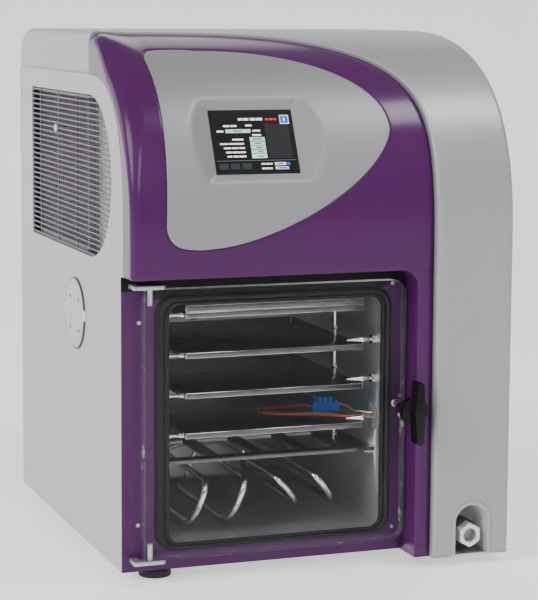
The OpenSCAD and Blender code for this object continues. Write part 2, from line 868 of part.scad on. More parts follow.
// Polished arms that come out of slots in the surround and hold the hinge pins
module hinge_arms() {
  color("#dcdcde") place()
    for (z = arm_heights()) difference() {
      union() {
        slab(arm_x, [door_front, sheet_t], [z, z + arm_t]);
        slab([arm_x[0], hinge_x + 15], [door_front, door_back - 1], [z, z + arm_t]);
        rod_z(hinge_x + 15, hinge_y - 0.5, [z, z + arm_t], (door_t - 1) / 2);
        slab(grow(arm_x, 4), [sheet_t, sheet_t + 3], near(z, [-4, arm_t + 4]));
      }
      rod_z(hinge_x, hinge_y, near(z, [-eps, arm_t + eps]), pin_d / 2 + 0.02);
    }
}

module hinge_pins() {
  color(white) place() {
    low = arm_heights()[0];
    high = arm_heights()[1];
    rod_z(hinge_x, hinge_y, [low, door_z[0] + hinge_depth - 2], pin_d / 2);
    rod_z(hinge_x, hinge_y, [door_z[1] - hinge_depth + 2, high + arm_t], pin_d / 2);
  }
}

module door_pane() {
  color("#cfd8dc", 0.35) place() difference() {
    along_y([door_front, door_back]) {
      rounded(door_x, door_z, 22);
      rounded([door_x[0], door_x[0] + 80], door_z, 3);
    }
    rod_z(hinge_x, hinge_y, near(door_z[0], [-eps, hinge_depth]), pin_d / 2 + slip);
    rod_z(hinge_x, hinge_y, near(door_z[1], [-hinge_depth, eps]), pin_d / 2 + slip);
    rod_y(latch_x, [door_front - eps, door_back + eps], latch_z, spindle_d / 2 + slip);
  }
}

// Spindle through the door, with a shoulder in front and a ring behind; its tip enters the keeper
module latch_spindle() {
  color("#d8d8da") place() {
    rod_y(latch_x, [hub_y - 12, 4], latch_z, spindle_d / 2);
    rod_y(latch_x, [hub_y, door_front - gap], latch_z, collar_r);
    rod_y(latch_x, [door_back + gap, door_back + 4], latch_z, collar_r);
  }
}

// Moulded knob: stepped hub and a tapered wing
module latch_knob() {
  color(black) place() difference() {
    union() {
      rod_y(latch_x, [hub_y - 24, hub_y], latch_z, hub_r);
      rod_y(latch_x, [wing_y[1] - 2, hub_y - 24], latch_z, 21);
      translate([latch_x, wing_y[1], latch_z])
        rotate([90, 0, 0])
          linear_extrude(wing_y[1] - wing_y[0]) {
            circle(9);
            for (end = [-1, 1])
              polygon([[-8.5, 0], [8.5, 0], [5.5, end * (wing_l / 2 - 5)], [-5.5, end * (wing_l / 2 - 5)]]);
            for (end = [-1, 1])
              translate([0, end * (wing_l / 2 - 5.5)]) circle(5.5);
          }
    }
    rod_y(latch_x, [hub_y - 12, hub_y + eps], latch_z, spindle_d / 2 + 0.02);
  }
}

module latch_screws() {
  color(steel) place()
    for (z = [-15, 15])
      rod_y(latch_x - 1, [door_front - 1.8, door_front], latch_z + z, 2.8);
}

module latch_keeper() {
  color(steel) place() difference() {
    slab(near(latch_x, [-7, 11]), [sheet_t, sheet_t + 3], near(latch_z, [-15, 15]));
    rod_y(latch_x, [sheet_t - eps, sheet_t + 3 + eps], latch_z, keeper_r);
  }
}

// Horizontal deck over the chamber that carries the upper machinery
module deck_plate() {
  color(steel) place()
    slab([sheet_t, body_w - sheet_t], [sheet_t + gap, body_d - sheet_t], [deck_z - 2, deck_z]);
}

// Upright fins on level tubes, in a frame that stands on the deck
module air_condenser() {
  core_y = [fan_y - fan_r - 46, fan_y + fan_r + 46];
  core_z = [vent_z - fan_r - 10, vent_z + fan_r + 10];
  color("#5c5a60") place() {
    for (y = [core_y[0] : 14 : core_y[1]])
      slab([14, 50], [y, y + 2], core_z);
    for (z = [core_z[0] + 20 : 49 : core_z[1] - 10])
      rod_y(32, [core_y[0], core_y[1] + 2], z, 5);
    slab([12, 54], grow(core_y, 6), [deck_z, core_z[0]]);
    for (y = [core_y[0] - 6, core_y[1] + 2])
      slab([12, 54], [y, y + 4], [deck_z, core_z[1] + 6]);
    slab([12, 54], grow(core_y, 6), near(core_z[1], [0, 6]));
  }
}

module fan_shroud() {
  color(dark_steel) place() difference() {
    union() {
      slab([54, 57], [fan_y - fan_r - 46, fan_y + fan_r + 46], [deck_z, vent_z + fan_r + 14]);
      rod_x([57, 86], fan_y, vent_z, fan_r + 7);
    }
    rod_x([53, 87], fan_y, vent_z, fan_r + 4);
  }
}

// Motor with a shaft, carried by three flat arms on the shroud's ring
module fan_motor() {
  color(black) place() {
    rod_x([88, 140], fan_y, vent_z, 38);
    rod_x([62, 88], fan_y, vent_z, fan_shaft_r);
    rod_x([62, 66 - gap], fan_y, vent_z, 6);
    rod_x([82 + gap, 88], fan_y, vent_z, 7);
    for (a = [90, 210, 330])
      translate([0, fan_y, vent_z]) rotate([a, 0, 0])
        slab([86, 90], [20, fan_r + 7], [-8, 8]);
  }
}

module fan_rotor() {
  color("#303234") place() difference() {
    union() {
      rod_x([66, 82], fan_y, vent_z, 32);
      intersection() {
        rod_x([62, 84], fan_y, vent_z, fan_r);
        union() {
          for (a = [0:72:359])
            translate([74, fan_y, vent_z]) rotate([a, 0, 0]) rotate([0, 35, 0])
              slab([-1.25, 1.25], [20, fan_r + 10], [-30, 30]);
        }
      }
    }
    rod_x([60, 90], fan_y, vent_z, fan_shaft_r + slip);
  }
}

module air_baffle_panel() {
  color("#8a888e") place() {
    slab([26, 28], [40, 218], [deck_z, vent_z + 118]);
    slab([26, 60], [40, 42], [deck_z, vent_z + 118]);
    slab([26, 60], [40, 218], [deck_z, deck_z + 2]);
  }
}

// Hermetic compressor on a foot plate
module compressor() {
  x = compressor_place[0];
  y = compressor_place[1];
  shell = [for (i = [0:10]) let (t = 9 * i) [compressor_r * cos(t), 150 + 55 * sin(t)]];
  color(black) place() {
    slab(grow([x, x], compressor_r), grow([y, y], compressor_r), near(sheet_t, [0, 4]));
    translate([x, y, sheet_t + 4])
      rotate_extrude() polygon(concat([[0, 0], [compressor_r, 0]], shell));
    rod_x([x - compressor_r - 30, x - compressor_r + 6], y, 110, 6);
    rod_x([x + compressor_r - 6, x + compressor_r + 24], y, 140, 5);
  }
}

module circulation_pump() {
  color("#4a6a88") place() {
    slab([462, 570], [170, 300], near(sheet_t, [0, 6]));
    slab([480, 552], [185, 285], [sheet_t + 6, 60]);
    rod_y(516, [176, 268], 76, 42);
    rod_y(516, [268, 300], 76, 30);
    rod_z(516, 284, [76, 124], 9);
  }
}

module electronics_box() {
  color("#7c8084") place()
    slab([330, 560], [200, 500], near(deck_z, [0, 150]));
}

// Vacuum pipe from the chamber's back wall, with a clamp flange outside the cabinet
module vacuum_port() {
  start = chamber_back + chamber_t;
  color("#d8d8da") place() difference() {
    union() {
      rod_y(vacuum_x, [start, body_d + vacuum_reach], vacuum_z, vacuum_pipe_r);
      rod_y(vacuum_x, [start, start + 4], vacuum_z, 24);
      rod_y(vacuum_x, near(body_d + vacuum_reach, [-6, 0]), vacuum_z, 20);
    }
    rod_y(vacuum_x, [start - eps, body_d + vacuum_reach + eps], vacuum_z, vacuum_bore_r);
  }
}

// Mains inlet: a flanged housing with a socket and three blades
module power_inlet() {
  color(black) place() {
    difference() {
      union() {
        slab(near(inlet_x, [-23.5, 23.5]), [body_d - 26, body_d], near(inlet_z, [-13.5, 13.5]));
        slab(near(inlet_x, [-30, 30]), [body_d, body_d + 2], near(inlet_z, [-20, 20]));
      }
      slab(near(inlet_x, [-15, 15]), [body_d - 18, body_d + 2 + eps], near(inlet_z, [-9, 9]));
    }
    for (dx = [-8, 0, 8])
      slab(near(inlet_x + dx, [-1.2, 1.2]), [body_d - 18.5, body_d - 3], near(inlet_z, [-3, 3]));
  }
}

// Switch housing with blind holes for the rocker's pin
module switch_housing() {
  color(black) place() difference() {
    union() {
      slab(near(inlet_x, [-14.7, 14.7]), [body_d - 20, body_d], near(rocker_z, [-10.7, 10.7]));
      slab(near(inlet_x, [-18, 18]), [body_d, body_d + 2], near(rocker_z, [-14, 14]));
    }
    slab(near(inlet_x, [-13, 13]), [body_d - 14, body_d + 2 + eps], near(rocker_z, [-9, 9]));
    rod_z(inlet_x, body_d - 4, near(rocker_z, [-10.2, 10.2]), rocker_pin_r + slip);
  }
}

// Rocker on a pin across the housing, shown tipped to the off side
module mains_rocker() {
  color("#b02020") place()
    translate([inlet_x, body_d - 4, rocker_z])
      rotate([0, 0, rocker_tilt]) {
        slab([-11.6, 11.6], [-1.5, 4.2], [-8.7, 8.7]);
        rod_z(0, 0, [-10, 10], rocker_pin_r);
      }
}

base_pan();
leveling_feet();
left_side_panel();
side_vent_grille();
vent_screw();
side_port_cover();
port_cover_screws();
panel_screws();
right_side_panel();
rear_panel();
silver_shell();
upper_fascia();
door_surround();
surround_screws();
control_inset();
display_module();
touchscreen();
chamber_tank();
chamber_flange();
door_gasket();
chamber_brackets();
top_plate();
shelf(1);  // shelf_1
shelf(2);  // shelf_2
shelf(3);  // shelf_3
shelf(4);  // shelf_4
shelf_studs();
shelf_fittings();
stay_rods();
stay_nuts();
baffle_frame();
condenser_coil();
probe_port();
probe_connector();
probe_lead(lead_a_points, lead_d / 2, "#c85a32");  // probe_lead_a
probe_lead(lead_b_points, lead_d / 2, "#b8502c");  // probe_lead_b
probe_lead(lead_c_points, lead_d / 2 - 0.2, "#e0d8c8");  // probe_lead_c
drain_pocket();
drain_collar();
drain_nut();
hinge_arms();
hinge_pins();
latch_keeper();
deck_plate();
air_condenser();
fan_shroud();
fan_motor();
fan_rotor();
air_baffle_panel();
compressor();
circulation_pump();
electronics_box();
vacuum_port();
power_inlet();
switch_housing();
mains_rocker();
door_pane();
latch_spindle();
latch_knob();
latch_screws();
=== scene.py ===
# Bench-top shelf freeze dryer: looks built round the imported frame.
# Lengths are millimetres from the cabinet's lower left door corner until they go into a mesh.
import json
import math

import bmesh
import bpy
import numpy as np
from mathutils import Matrix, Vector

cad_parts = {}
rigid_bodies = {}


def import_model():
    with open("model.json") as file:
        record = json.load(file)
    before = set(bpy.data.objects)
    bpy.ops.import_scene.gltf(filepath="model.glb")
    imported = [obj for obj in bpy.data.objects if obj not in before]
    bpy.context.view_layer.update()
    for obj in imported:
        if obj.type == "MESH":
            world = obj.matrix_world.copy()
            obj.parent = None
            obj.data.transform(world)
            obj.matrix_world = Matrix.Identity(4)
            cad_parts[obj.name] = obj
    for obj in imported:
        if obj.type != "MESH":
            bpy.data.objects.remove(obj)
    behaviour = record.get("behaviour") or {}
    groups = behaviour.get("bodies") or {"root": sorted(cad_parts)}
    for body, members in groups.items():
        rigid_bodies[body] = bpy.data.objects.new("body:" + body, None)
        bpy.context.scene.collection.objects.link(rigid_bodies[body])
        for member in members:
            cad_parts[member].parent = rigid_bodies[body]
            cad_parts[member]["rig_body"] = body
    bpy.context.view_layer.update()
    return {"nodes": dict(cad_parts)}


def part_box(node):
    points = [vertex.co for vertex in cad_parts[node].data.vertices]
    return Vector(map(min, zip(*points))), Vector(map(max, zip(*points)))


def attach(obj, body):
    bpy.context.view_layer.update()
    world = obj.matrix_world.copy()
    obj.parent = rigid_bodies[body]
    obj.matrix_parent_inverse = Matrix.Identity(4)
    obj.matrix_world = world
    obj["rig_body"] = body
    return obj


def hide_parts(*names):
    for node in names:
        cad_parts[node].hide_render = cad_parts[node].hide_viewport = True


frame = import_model()

# ---- Camera ----
# A long lens stands to the left of the door and a little above the roof, and looks slightly down.
# Its optical axis passes above the middle of the picture, so the lens is shifted.
corner = np.array(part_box("door_surround")[0])
yaw, pitch, tilt = np.radians([20.08, 7.0, 0.34])
camera_spot = [-830.3, -2908.9, 839.8]


def at(points):
    """Cabinet millimetres to the shared frame's metres: corner + points / 1000."""
    return corner + np.asarray(points, float) / 1000.0


def stand(name, data, right, up, back, spot=(0, 0, 0)):
    """Puts a camera or light in the scene: its axes and its place are the columns of its matrix."""
    made = bpy.data.objects.new(name, data)
    columns = np.column_stack([right, up, back, at(spot)])
    made.matrix_world = Matrix(np.vstack([columns, [0, 0, 0, 1]]).tolist())
    bpy.context.scene.collection.objects.link(made)
    return made


ahead = np.array([math.sin(yaw) * math.cos(pitch), math.cos(yaw) * math.cos(pitch), -math.sin(pitch)])
level = np.array([math.cos(yaw), -math.sin(yaw), 0.0])
upward = np.cross(level, ahead)
lens = bpy.data.cameras.new("camera")
lens.lens = 123.33
lens.sensor_width = 36.0
lens.shift_y = -0.0583
lens.clip_start = 0.1
lens.clip_end = 50.0
bpy.context.scene.camera = stand(
    "camera", lens, level * math.cos(tilt) + upward * math.sin(tilt),
    upward * math.cos(tilt) - level * math.sin(tilt), -ahead, camera_spot)

# ---- Finishes ----
# Every finish is a Principled shader whose colour, roughness and relief come from noise in the
# piece's own millimetre-true coordinates, so grain and wear keep one scale on every piece.


class Link:
    """A socket used like a number: each operator adds the Math node of that name."""

    def __init__(self, paint, socket):
        self.paint, self.socket = paint, socket

    def _math(self, operation, *terms):
        return self.paint.add("ShaderNodeMath", {"operation": operation}, dict(enumerate(terms)))

    def __add__(self, other):
        return self._math("ADD", self, other)

    def __sub__(self, other):
        return self._math("SUBTRACT", self, other)

    def __rsub__(self, other):
        return self._math("SUBTRACT", other, self)

    def __mul__(self, other):
        return self._math("MULTIPLY", self, other)

    __radd__ = __add__
    __rmul__ = __mul__


class Paint:
    """One finish: its material, its Principled shader, and the call that adds any other node."""

    def __init__(self, name, **fixed):
        self.material = bpy.data.materials.new(name)
        self.material.use_nodes = True
        self.tree = self.material.node_tree
        self.shader = self.tree.nodes["Principled BSDF"]
        for socket, value in fixed.items():
            self.shader.inputs[socket.replace("_", " ")].default_value = value
        self.place = self.add("ShaderNodeTexCoord", {}, {}, "Object")

    def add(self, kind, settings, inputs, output=0):
        """Adds a node of that kind, makes its settings, sets or links its inputs, and gives one output."""
        node = self.tree.nodes.new(kind)
        for name, value in settings.items():
            setattr(node, name, value)
        for key, value in inputs.items():
            if isinstance(value, Link):
                self.tree.links.new(value.socket, node.inputs[key])
            else:
                node.inputs[key].default_value = value
        return Link(self, node.outputs[output])

    def noise(self, scale, stretch=(1, 1, 1), detail=2.0):
        """Noise of about 1 / scale metres, drawn out along the axes whose stretch is small."""
        place = self.add("ShaderNodeMapping", {}, {"Vector": self.place, "Scale": stretch})
        return self.add("ShaderNodeTexNoise", {}, {"Vector": place, "Scale": scale, "Detail": detail})

    def between(self, value, low, high):
        """0 below low, 1 above high, and a soft step from one to the other."""
        limits = {"Value": value, "From Min": low, "From Max": high}
        return self.add("ShaderNodeMapRange", {"interpolation_type": "SMOOTHSTEP"}, limits)

    def step(self, axis, start, end, lowered=None):
        """Soft step from 0 to 1 between two places on an axis (0, 1 or 2), in cabinet millimetres.
        lowered is taken off the place first."""
        spot = self.add("ShaderNodeSeparateXYZ", {}, {"Vector": self.place}, axis)
        low, high = (float(corner[axis] + place / 1000.0) for place in (start, end))
        return self.between(spot if lowered is None else spot - lowered, low, high)

    def blend(self, share, first, second):
        """Colour that goes from first to second as share goes from 0 to 1."""
        return self.add("ShaderNodeMix", {"data_type": "RGBA"}, {0: share, 6: first, 7: second}, 2)

    def relief(self, height, strength, depth):
        """Bump of that depth in metres."""
        return self.add("ShaderNodeBump", {}, {"Height": height, "Strength": strength, "Distance": depth})

    def feed(self, **links):
        """Links sockets of the shader, named with _ for a space."""
        for socket, link in links.items():
            self.tree.links.new(link.socket, self.shader.inputs[socket.replace("_", " ")])
        return self.material


def tone(red, green, blue, by=1.0):
    """A colour as four numbers, made lighter or darker by a factor."""
    return (red * by, green * by, blue * by, 1.0)


def grey(shade):
    """A neutral colour."""
    return tone(shade, shade, shade)


def moulded(name, colour, roughness, grain=900.0, depth=0.00012, vary=0.12, **fixed):
    """Moulded or painted skin: fine grain in relief and roughness, and slow drift in its colour."""
    paint = Paint(name, **fixed)
    fine = paint.noise(grain)
    slow = paint.noise(9.0, detail=3.0)
    shade = fine * 0.35 + slow * 0.65
    return paint.feed(
        Base_Color=paint.blend(shade, tone(*colour, by=1 - vary), tone(*colour, by=1 + vary)),
        Roughness=fine * 0.10 + slow * 0.06 + (roughness - 0.08),
        Normal=paint.relief(fine, 0.25, depth))


# ---- Probe leads ----
# Three thin sleeved leads come out of the port in the chamber's right wall, lie in one flat loop on
# the lowest shelf and end in a blue connector. They are limp and rest on the shelf.
shelf_top = 203.0
lead_routes = {
    "probe_lead_a": (3.0, [(416, 32, 9), (410, 32, 9), (397, 40, 7), (386, 52, 4), (374, 70, 2),
        (358, 86, 1.7), (338, 96, 1.7), (315, 102, 1.7), (292, 110, 1.7), (276, 124, 1.7),
        (270, 142, 1.7), (275, 160, 1.7), (288, 171, 1.7), (305, 172, 2), (321, 164, 4),
        (333, 151, 7), (341, 137, 10), (346, 130, 11), (350, 130, 11)]),
    "probe_lead_b": (3.0, [(416, 39, 3), (410, 39, 3), (399, 50, 2), (391, 62, 1.7), (380, 79, 1.7),
        (364, 95, 1.7), (342, 104, 1.7), (318, 109, 1.7), (297, 117, 1.7), (283, 130, 1.7),
        (278, 144, 1.7), (283, 157, 1.7), (294, 163, 1.7), (307, 162, 2), (319, 154, 4),
        (330, 140, 7), (338, 127, 10), (345, 119, 11), (350, 119, 11)]),
    "probe_lead_c": (2.6, [(416, 24, 14), (411, 24, 14), (404, 31, 14), (402, 44, 13), (404, 60, 9),
        (408, 78, 6), (410, 96, 6), (409, 112, 8), (402, 122, 10), (396, 122, 10)]),
}


def eased_route(route, steps=6):
    """Catmull-Rom curve through the route's points: on each span p(t) is the cubic whose slope at a
    point is half the step between that point's neighbours."""
    p = np.asarray(route, float)
    p = np.concatenate([2 * p[:1] - p[1:2], p, 2 * p[-1:] - p[-2:-1]])
    t = np.linspace(0, 1, steps, endpoint=False)[None, :, None]
    a, b, c, d = (p[i : len(p) - 3 + i, None, :] for i in range(4))
    curve = 0.5 * (2 * b + (c - a) * t + (2 * a - 5 * b + 4 * c - d) * t**2
                   + (3 * b - a - 3 * c + d) * t**3)
    return np.concatenate([curve.reshape(-1, 3), p[-2:-1]])


sleeve_orange = moulded("orange sleeve", (0.92, 0.19, 0.08), 0.42, grain=1600.0, vary=0.2)
sleeve_white = moulded("white sleeve", (0.72, 0.66, 0.54), 0.45, grain=1600.0, vary=0.1)

# The connector is a moulded block of five cells with a latch bar across its raised part.
block_top, cell_foot = shelf_top + 14, shelf_top + 12
cells = [(353, 358.5, 18)] + [(x, x + 6, 24) for x in (361, 369.5, 378)] + [(387, 393, 18)]
connector_blocks = (
    [((350, 112, shelf_top), (396, 136, block_top))]
    + [((x0, 112.6, cell_foot), (x1, 135.4, shelf_top + rise)) for x0, x1, rise in cells]
    + [((359, 120, cell_foot), (386, 128, shelf_top + 22.5))])


def shade(mesh, sharp=38.0):
    """Shades a mesh smooth up to the sharp angle."""
    mesh.polygons.foreach_set("use_smooth", np.ones(len(mesh.polygons), bool))
    mesh.set_sharp_from_angle(angle=math.radians(sharp))


def mounted(name, data, body, replaced=()):
    """Puts a piece in the scene and lets it ride on a body, in the place of CAD nodes if they are named."""
    made = bpy.data.objects.new(name, data)
    bpy.context.scene.collection.objects.link(made)
    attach(made, body)
    if replaced:
        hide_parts(*replaced)
    return made


def piece(name, points, faces, materials, body, replaced=(), slot=None, faces_of=None, sharp=38.0,
          wall=0.0, edge=0.0):
    """Welds a mesh's equal points and turns its faces outwards. wall thickens it inwards and edge
    rounds its sharp edges, in millimetres. faces_of gives each face the number of its material."""
    welded, back = np.unique(np.round(at(points), 6), axis=0, return_inverse=True)
    faces = back.reshape(-1)[np.asarray(faces)]
    finish = np.zeros(len(faces), np.int32) if faces_of is None else np.asarray(faces_of, np.int32)
    own = faces != np.roll(faces, -1, axis=1)
    crossed = (faces[:, 0] == faces[:, 2]) | (faces[:, 1] == faces[:, 3])
    four, three = (own.sum(1) == 4) & ~crossed, (own.sum(1) == 3) & ~crossed
    triangles = faces[three][own[three]].reshape(-1, 3)
    mesh = bpy.data.meshes.new(name)
    mesh.from_pydata(welded.tolist(), [], faces[four].tolist() + triangles.tolist())
    for material in materials:
        mesh.materials.append(material)
    mesh.polygons.foreach_set("material_index", np.concatenate([finish[four], finish[three]]))
    work = bmesh.new()
    work.from_mesh(mesh)
    bmesh.ops.dissolve_degenerate(work, dist=1e-6, edges=work.edges)
    bmesh.ops.recalc_face_normals(work, faces=work.faces)
    work.to_mesh(mesh)
    work.free()
    shade(mesh, sharp)
    made = mounted(name, mesh, body, replaced)
    if wall:
        solid = made.modifiers.new("wall", "SOLIDIFY")
        solid.thickness = wall / 1000
        solid.offset = -1.0
    if edge:
        bevel = made.modifiers.new("edge", "BEVEL")
        bevel.width = edge / 1000
        bevel.segments = 2
        bevel.limit_method = "ANGLE"
        bevel.angle_limit = math.radians(32)
    return made


def blocks(corners):
    """Closed boxes from pairs of opposite corners: eight points and six faces each."""
    low, high = (np.array([pair[i] for pair in corners], float) for i in (0, 1))
    pick = np.array([[x, y, z] for x in (0, 1) for y in (0, 1) for z in (0, 1)])
    points = low[:, None, :] * (1 - pick) + high[:, None, :] * pick
    quads = np.array([[0, 1, 3, 2], [4, 6, 7, 5], [0, 4, 5, 1], [2, 3, 7, 6], [0, 2, 6, 4], [1, 5, 7, 3]])
    return points.reshape(-1, 3), (quads[None] + 8 * np.arange(len(low))[:, None, None]).reshape(-1, 4)


blue_nylon = moulded("blue nylon", (0.005, 0.25, 1.0), 0.35, grain=700.0, vary=0.15)
connector = piece("connector_block", *blocks(connector_blocks), [blue_nylon], "cabinet",
                  ["probe_connector"], "blue_plastic", edge=0.8)
for lead_name, (lead_d, route) in lead_routes.items():
    white = lead_name == "probe_lead_c"
    line = at(eased_route(np.asarray(route, float) + [0, 0, shelf_top]))
    curve = bpy.data.curves.new(lead_name + "_line", "CURVE")
    curve.dimensions = "3D"
    curve.bevel_depth = lead_d / 2000
    curve.bevel_resolution = 3
    curve.use_fill_caps = True
    spline = curve.splines.new("POLY")
    spline.points.add(len(line) - 1)
    spline.points.foreach_set("co", np.column_stack([line, np.ones(len(line))]).ravel())
    spline.use_smooth = True
    curve.materials.append(sleeve_white if white else sleeve_orange)
    lead = mounted(lead_name + "_sleeve", curve, "cabinet", [lead_name])

# ---- Silver shell ----
# One satin silver moulding makes the roof, the rolled front and the column on the right. Its
# opening for the fascia has a soft edge, and the drain arch is cut through the foot of the column.
body_w, silver_front, shell_wall = 610.0, 73.5, 2.5
roll_foot, roll_back = 480.0, 344.0
roof_end, rear_y, rear_z = 560.0, 640.0, 770.0
fascia_w, round_z, round_h, rim_gap, roof_gap, rim_drop = 480.0, 585.0, 222.0, 0.6, 0.5, 12.0
panel_y, panel_z, panel_h, panel_front, seam_z = 172.0, 520.0, 224.0, -11.3, 744.3
right_r, left_r, mid_g, bend_x, arch_top = 8.0, 11.0, 500.0, 411.0, 100.0
arch_x, arch_z, arch_r, arch_soft, arch_depth, arch_whole = 546.5, 52.5, 34.5, 1.5, 4.0, 213.4


def spots(*coordinates):
    """Points from their coordinates, each of them one number or an array."""
    return np.stack(np.broadcast_arrays(*coordinates), -1)


def unit(vectors):
    """Vectors brought to length 1."""
    return vectors / np.linalg.norm(vectors, axis=-1, keepdims=True)


def eased(value, low, high):
    """Soft step s * s * (3 - 2 * s), with s going from 0 at low to 1 at high."""
    share = np.clip((value - low) / (high - low), 0, 1)
    return share * share * (3 - 2 * share)


def quarter(count):
    """Angles from 0 to 90 degrees, in radians."""
    return np.radians(np.linspace(0, 90, count))


def run_of(curve):
    """Length along a line of points, up to each of them."""
    return np.r_[0, np.cumsum(np.linalg.norm(np.diff(curve, axis=0), axis=1))]


def along(curve, lengths):
    """Points at given lengths along a line of points."""
    run = run_of(curve)
    return np.stack([np.interp(lengths, run, curve[:, i]) for i in range(curve.shape[1])], 1)


def outward(line):
    """Unit normals of a flat line of points, on its right-hand side."""
    slope = unit(np.gradient(line, axis=0))
    return spots(slope[:, 1], -slope[:, 0])


def grids(*sheets):
    """Joins grids of points into one mesh: each cell of a grid is a four-sided face."""
    points, faces, start = [], [], 0
    for sheet in sheets:
        rows, columns = sheet.shape[:2]
        index = start + np.arange(rows * columns).reshape(rows, columns)
        cell = [index[:-1, :-1], index[:-1, 1:], index[1:, 1:], index[1:, :-1]]
        faces.append(np.stack(cell, -1).reshape(-1, 4))
        points.append(sheet.reshape(-1, 3))
        start += rows * columns
    return np.concatenate(points), np.concatenate(faces)


def ruled(first, second, steps):
    """Grid of straight lines between two curves with the same number of points."""
    share = np.linspace(0, 1, steps)[None, :, None]
    return first[:, None, :] * (1 - share) + second[:, None, :] * share


def superellipse(power, count):
    """(cos t ^ (2 / power), sin t ^ (2 / power)) for t over one quarter."""
    t = quarter(count)
    return np.clip(np.cos(t), 0, 1) ** (2 / power), np.clip(np.sin(t), 0, 1) ** (2 / power)


class Roll:
    """The side outline, carried along X: straight up the front, a quarter superellipse of power 2.7
    from height 480 to the roof at Y 344, and the flat roof, which may turn down at the rear.
    A point of the surface is given by X and by its length along the outline. Near X 0 the roll
    stands up squarer, towards power 5, between 60 behind the door plane and the roof."""

    def __init__(self, front, roof, rear=False):
        self.front, self.high = front, roof - roll_foot
        across, along_it = superellipse(2.7, 1501)
        parts = [[[-front, 0.0]],
                 spots(roll_back - (roll_back + front) * across, roll_foot + self.high * along_it)]
        if rear:
            drop, back = superellipse(2.3, 201)
            turned_down = spots(roof_end + (rear_y - roof_end) * back, rear_z + (roof - rear_z) * drop)
            parts += [turned_down, [[rear_y, seam_z + 0.3]]]
        else:
            parts += [[[rear_y, roof]]]
        line = np.concatenate(parts)
        line = line[np.r_[True, np.linalg.norm(np.diff(line, axis=0), axis=1) > 1e-6]]
        self.length = run_of(line)
        self.y, self.z = line.T
        slope = unit(np.gradient(line, self.length, axis=0))
        self.normal = spots(-slope[:, 1], slope[:, 0])

    def place(self, x, g, depth=0.0):
        """Points at X and length g, moved in along the surface's normal by depth."""
        x, g, depth = np.broadcast_arrays(x, g, depth)
        normal = unit(spots(*(np.interp(g, self.length, self.normal[:, i]) for i in (0, 1))))
        y = np.interp(g, self.length, self.y) - normal[..., 0] * depth
        z = np.interp(g, self.length, self.z) - normal[..., 1] * depth
        share = eased(x, 80, 12) * eased(y, 60, panel_y)
        u = np.clip((roll_back - y) / (roll_back + self.front), 0, 1)
        return spots(x, y, z + share * self.high * ((1 - u**5) ** 0.2 - (1 - u**2.7) ** (1 / 2.7)))

    def at_height(self, z):
        """Length at which the front and its roll reach a height."""
        top = self.z.argmax() + 1
        return np.interp(z, self.z[:top], self.length[:top])

    def y_at(self, z):
        """Y of the front and its roll at a height."""
        top = self.z.argmax() + 1
        return np.interp(z, self.z[:top], self.y[:top])

    def at_depth(self, y, inset=0.0):
        """Length at which the surface, moved in by inset, reaches a distance behind the door plane."""
        moved = self.place(0.0, self.length, inset)[:, 1]
        start = np.searchsorted(self.length, roll_foot)
        return np.interp(y, moved[start:], self.length[start:])


def fascia_edge(by):
    """Front outline of the fascia as X and height: up X 480, then a quarter superellipse of power 4.5
    round (0, 585) with half axes 480 and 222, all grown by an amount."""
    x, z = superellipse(4.5, 3001)
    return (fascia_w + by) * x, round_z + (round_h + by) * z


def fascia_back(x):
    """How far back the fascia reaches on the roof: 172 up to X 12, then 172 + 130 (1 - (1 - s) ^ 2.2)
    with s going from 0 to 1 at X 150."""
    return panel_y + 130 * (1 - (1 - np.clip((x - 12) / 138, 0, 1)) ** 2.2)


# The opening's edge as X and length g along the outline, and its lip, which is wider by the soft edge
silver = Roll(silver_front, 811.0, rear=True)
column_x = body_w - right_r
edge_x, edge_z = fascia_edge(rim_gap)
edge_g = silver.at_height(edge_z)
kept = np.interp(edge_g, silver.length, silver.y) <= fascia_back(edge_x)
last_x, highest_g = edge_x[kept][-1], edge_g[kept][-1]
quarter_x = np.linspace(last_x, left_r, 60)[1:]
quarter_g = silver.at_depth(fascia_back(quarter_x) - roof_gap)
falling = quarter_g < highest_g
opening = np.concatenate([[[fascia_w + rim_gap, 0.0]], spots(edge_x[kept], edge_g[kept]),
                          spots(quarter_x[falling], quarter_g[falling])])
opening = along(opening, np.linspace(0, run_of(opening)[-1], 3001))
soft_r = 7.0 - 5.5 * np.clip((opening[:, 1] - 520) / 260, 0, 1)
soft_r = soft_r * np.clip((opening[:, 0] - left_r) / 12, 0, 1)
lip = opening + outward(opening) * soft_r[:, None]
lip[:, 0] = np.maximum(lip[:, 0], left_r)

# The skin runs from the lip to the column's edge, the roof's rear and the roof's left edge. The grid's
# lines meet the lip at mid, bend and turn_at where the outer edge turns from one side to the next.
rear_g, last_g = silver.at_depth(roof_end), silver.length[-1]
low_g = np.linspace(0, arch_top, 11)
side_g = np.unique(np.r_[np.linspace(arch_top, 450, 12), 451.0, np.linspace(470, rear_g, 110)])
rear_x = np.linspace(column_x, left_r, 90)
down_g = np.linspace(rear_g, last_g, 24)
lip_run = run_of(lip)
mid = np.searchsorted(lip[:, 1], mid_g)
bend = np.argmin(np.abs(lip[:, 0] - bend_x) + np.where(lip[:, 1] > 600, 0, 1e6))
turn_at = np.argmin(np.abs(opening[:, 0] - last_x) + np.where(lip[:, 1] > 800, 0, 1e6))
left_share = np.linspace(0, 1, 26)
left_end = silver.at_depth(fascia_back(left_r) - roof_gap)
outer = np.concatenate([spots(column_x, side_g), spots(rear_x[1:], rear_g),
                        spots(left_r, rear_g + (left_end - rear_g) * left_share[1:])])
upper_share = (side_g - mid_g) / (rear_g - mid_g)
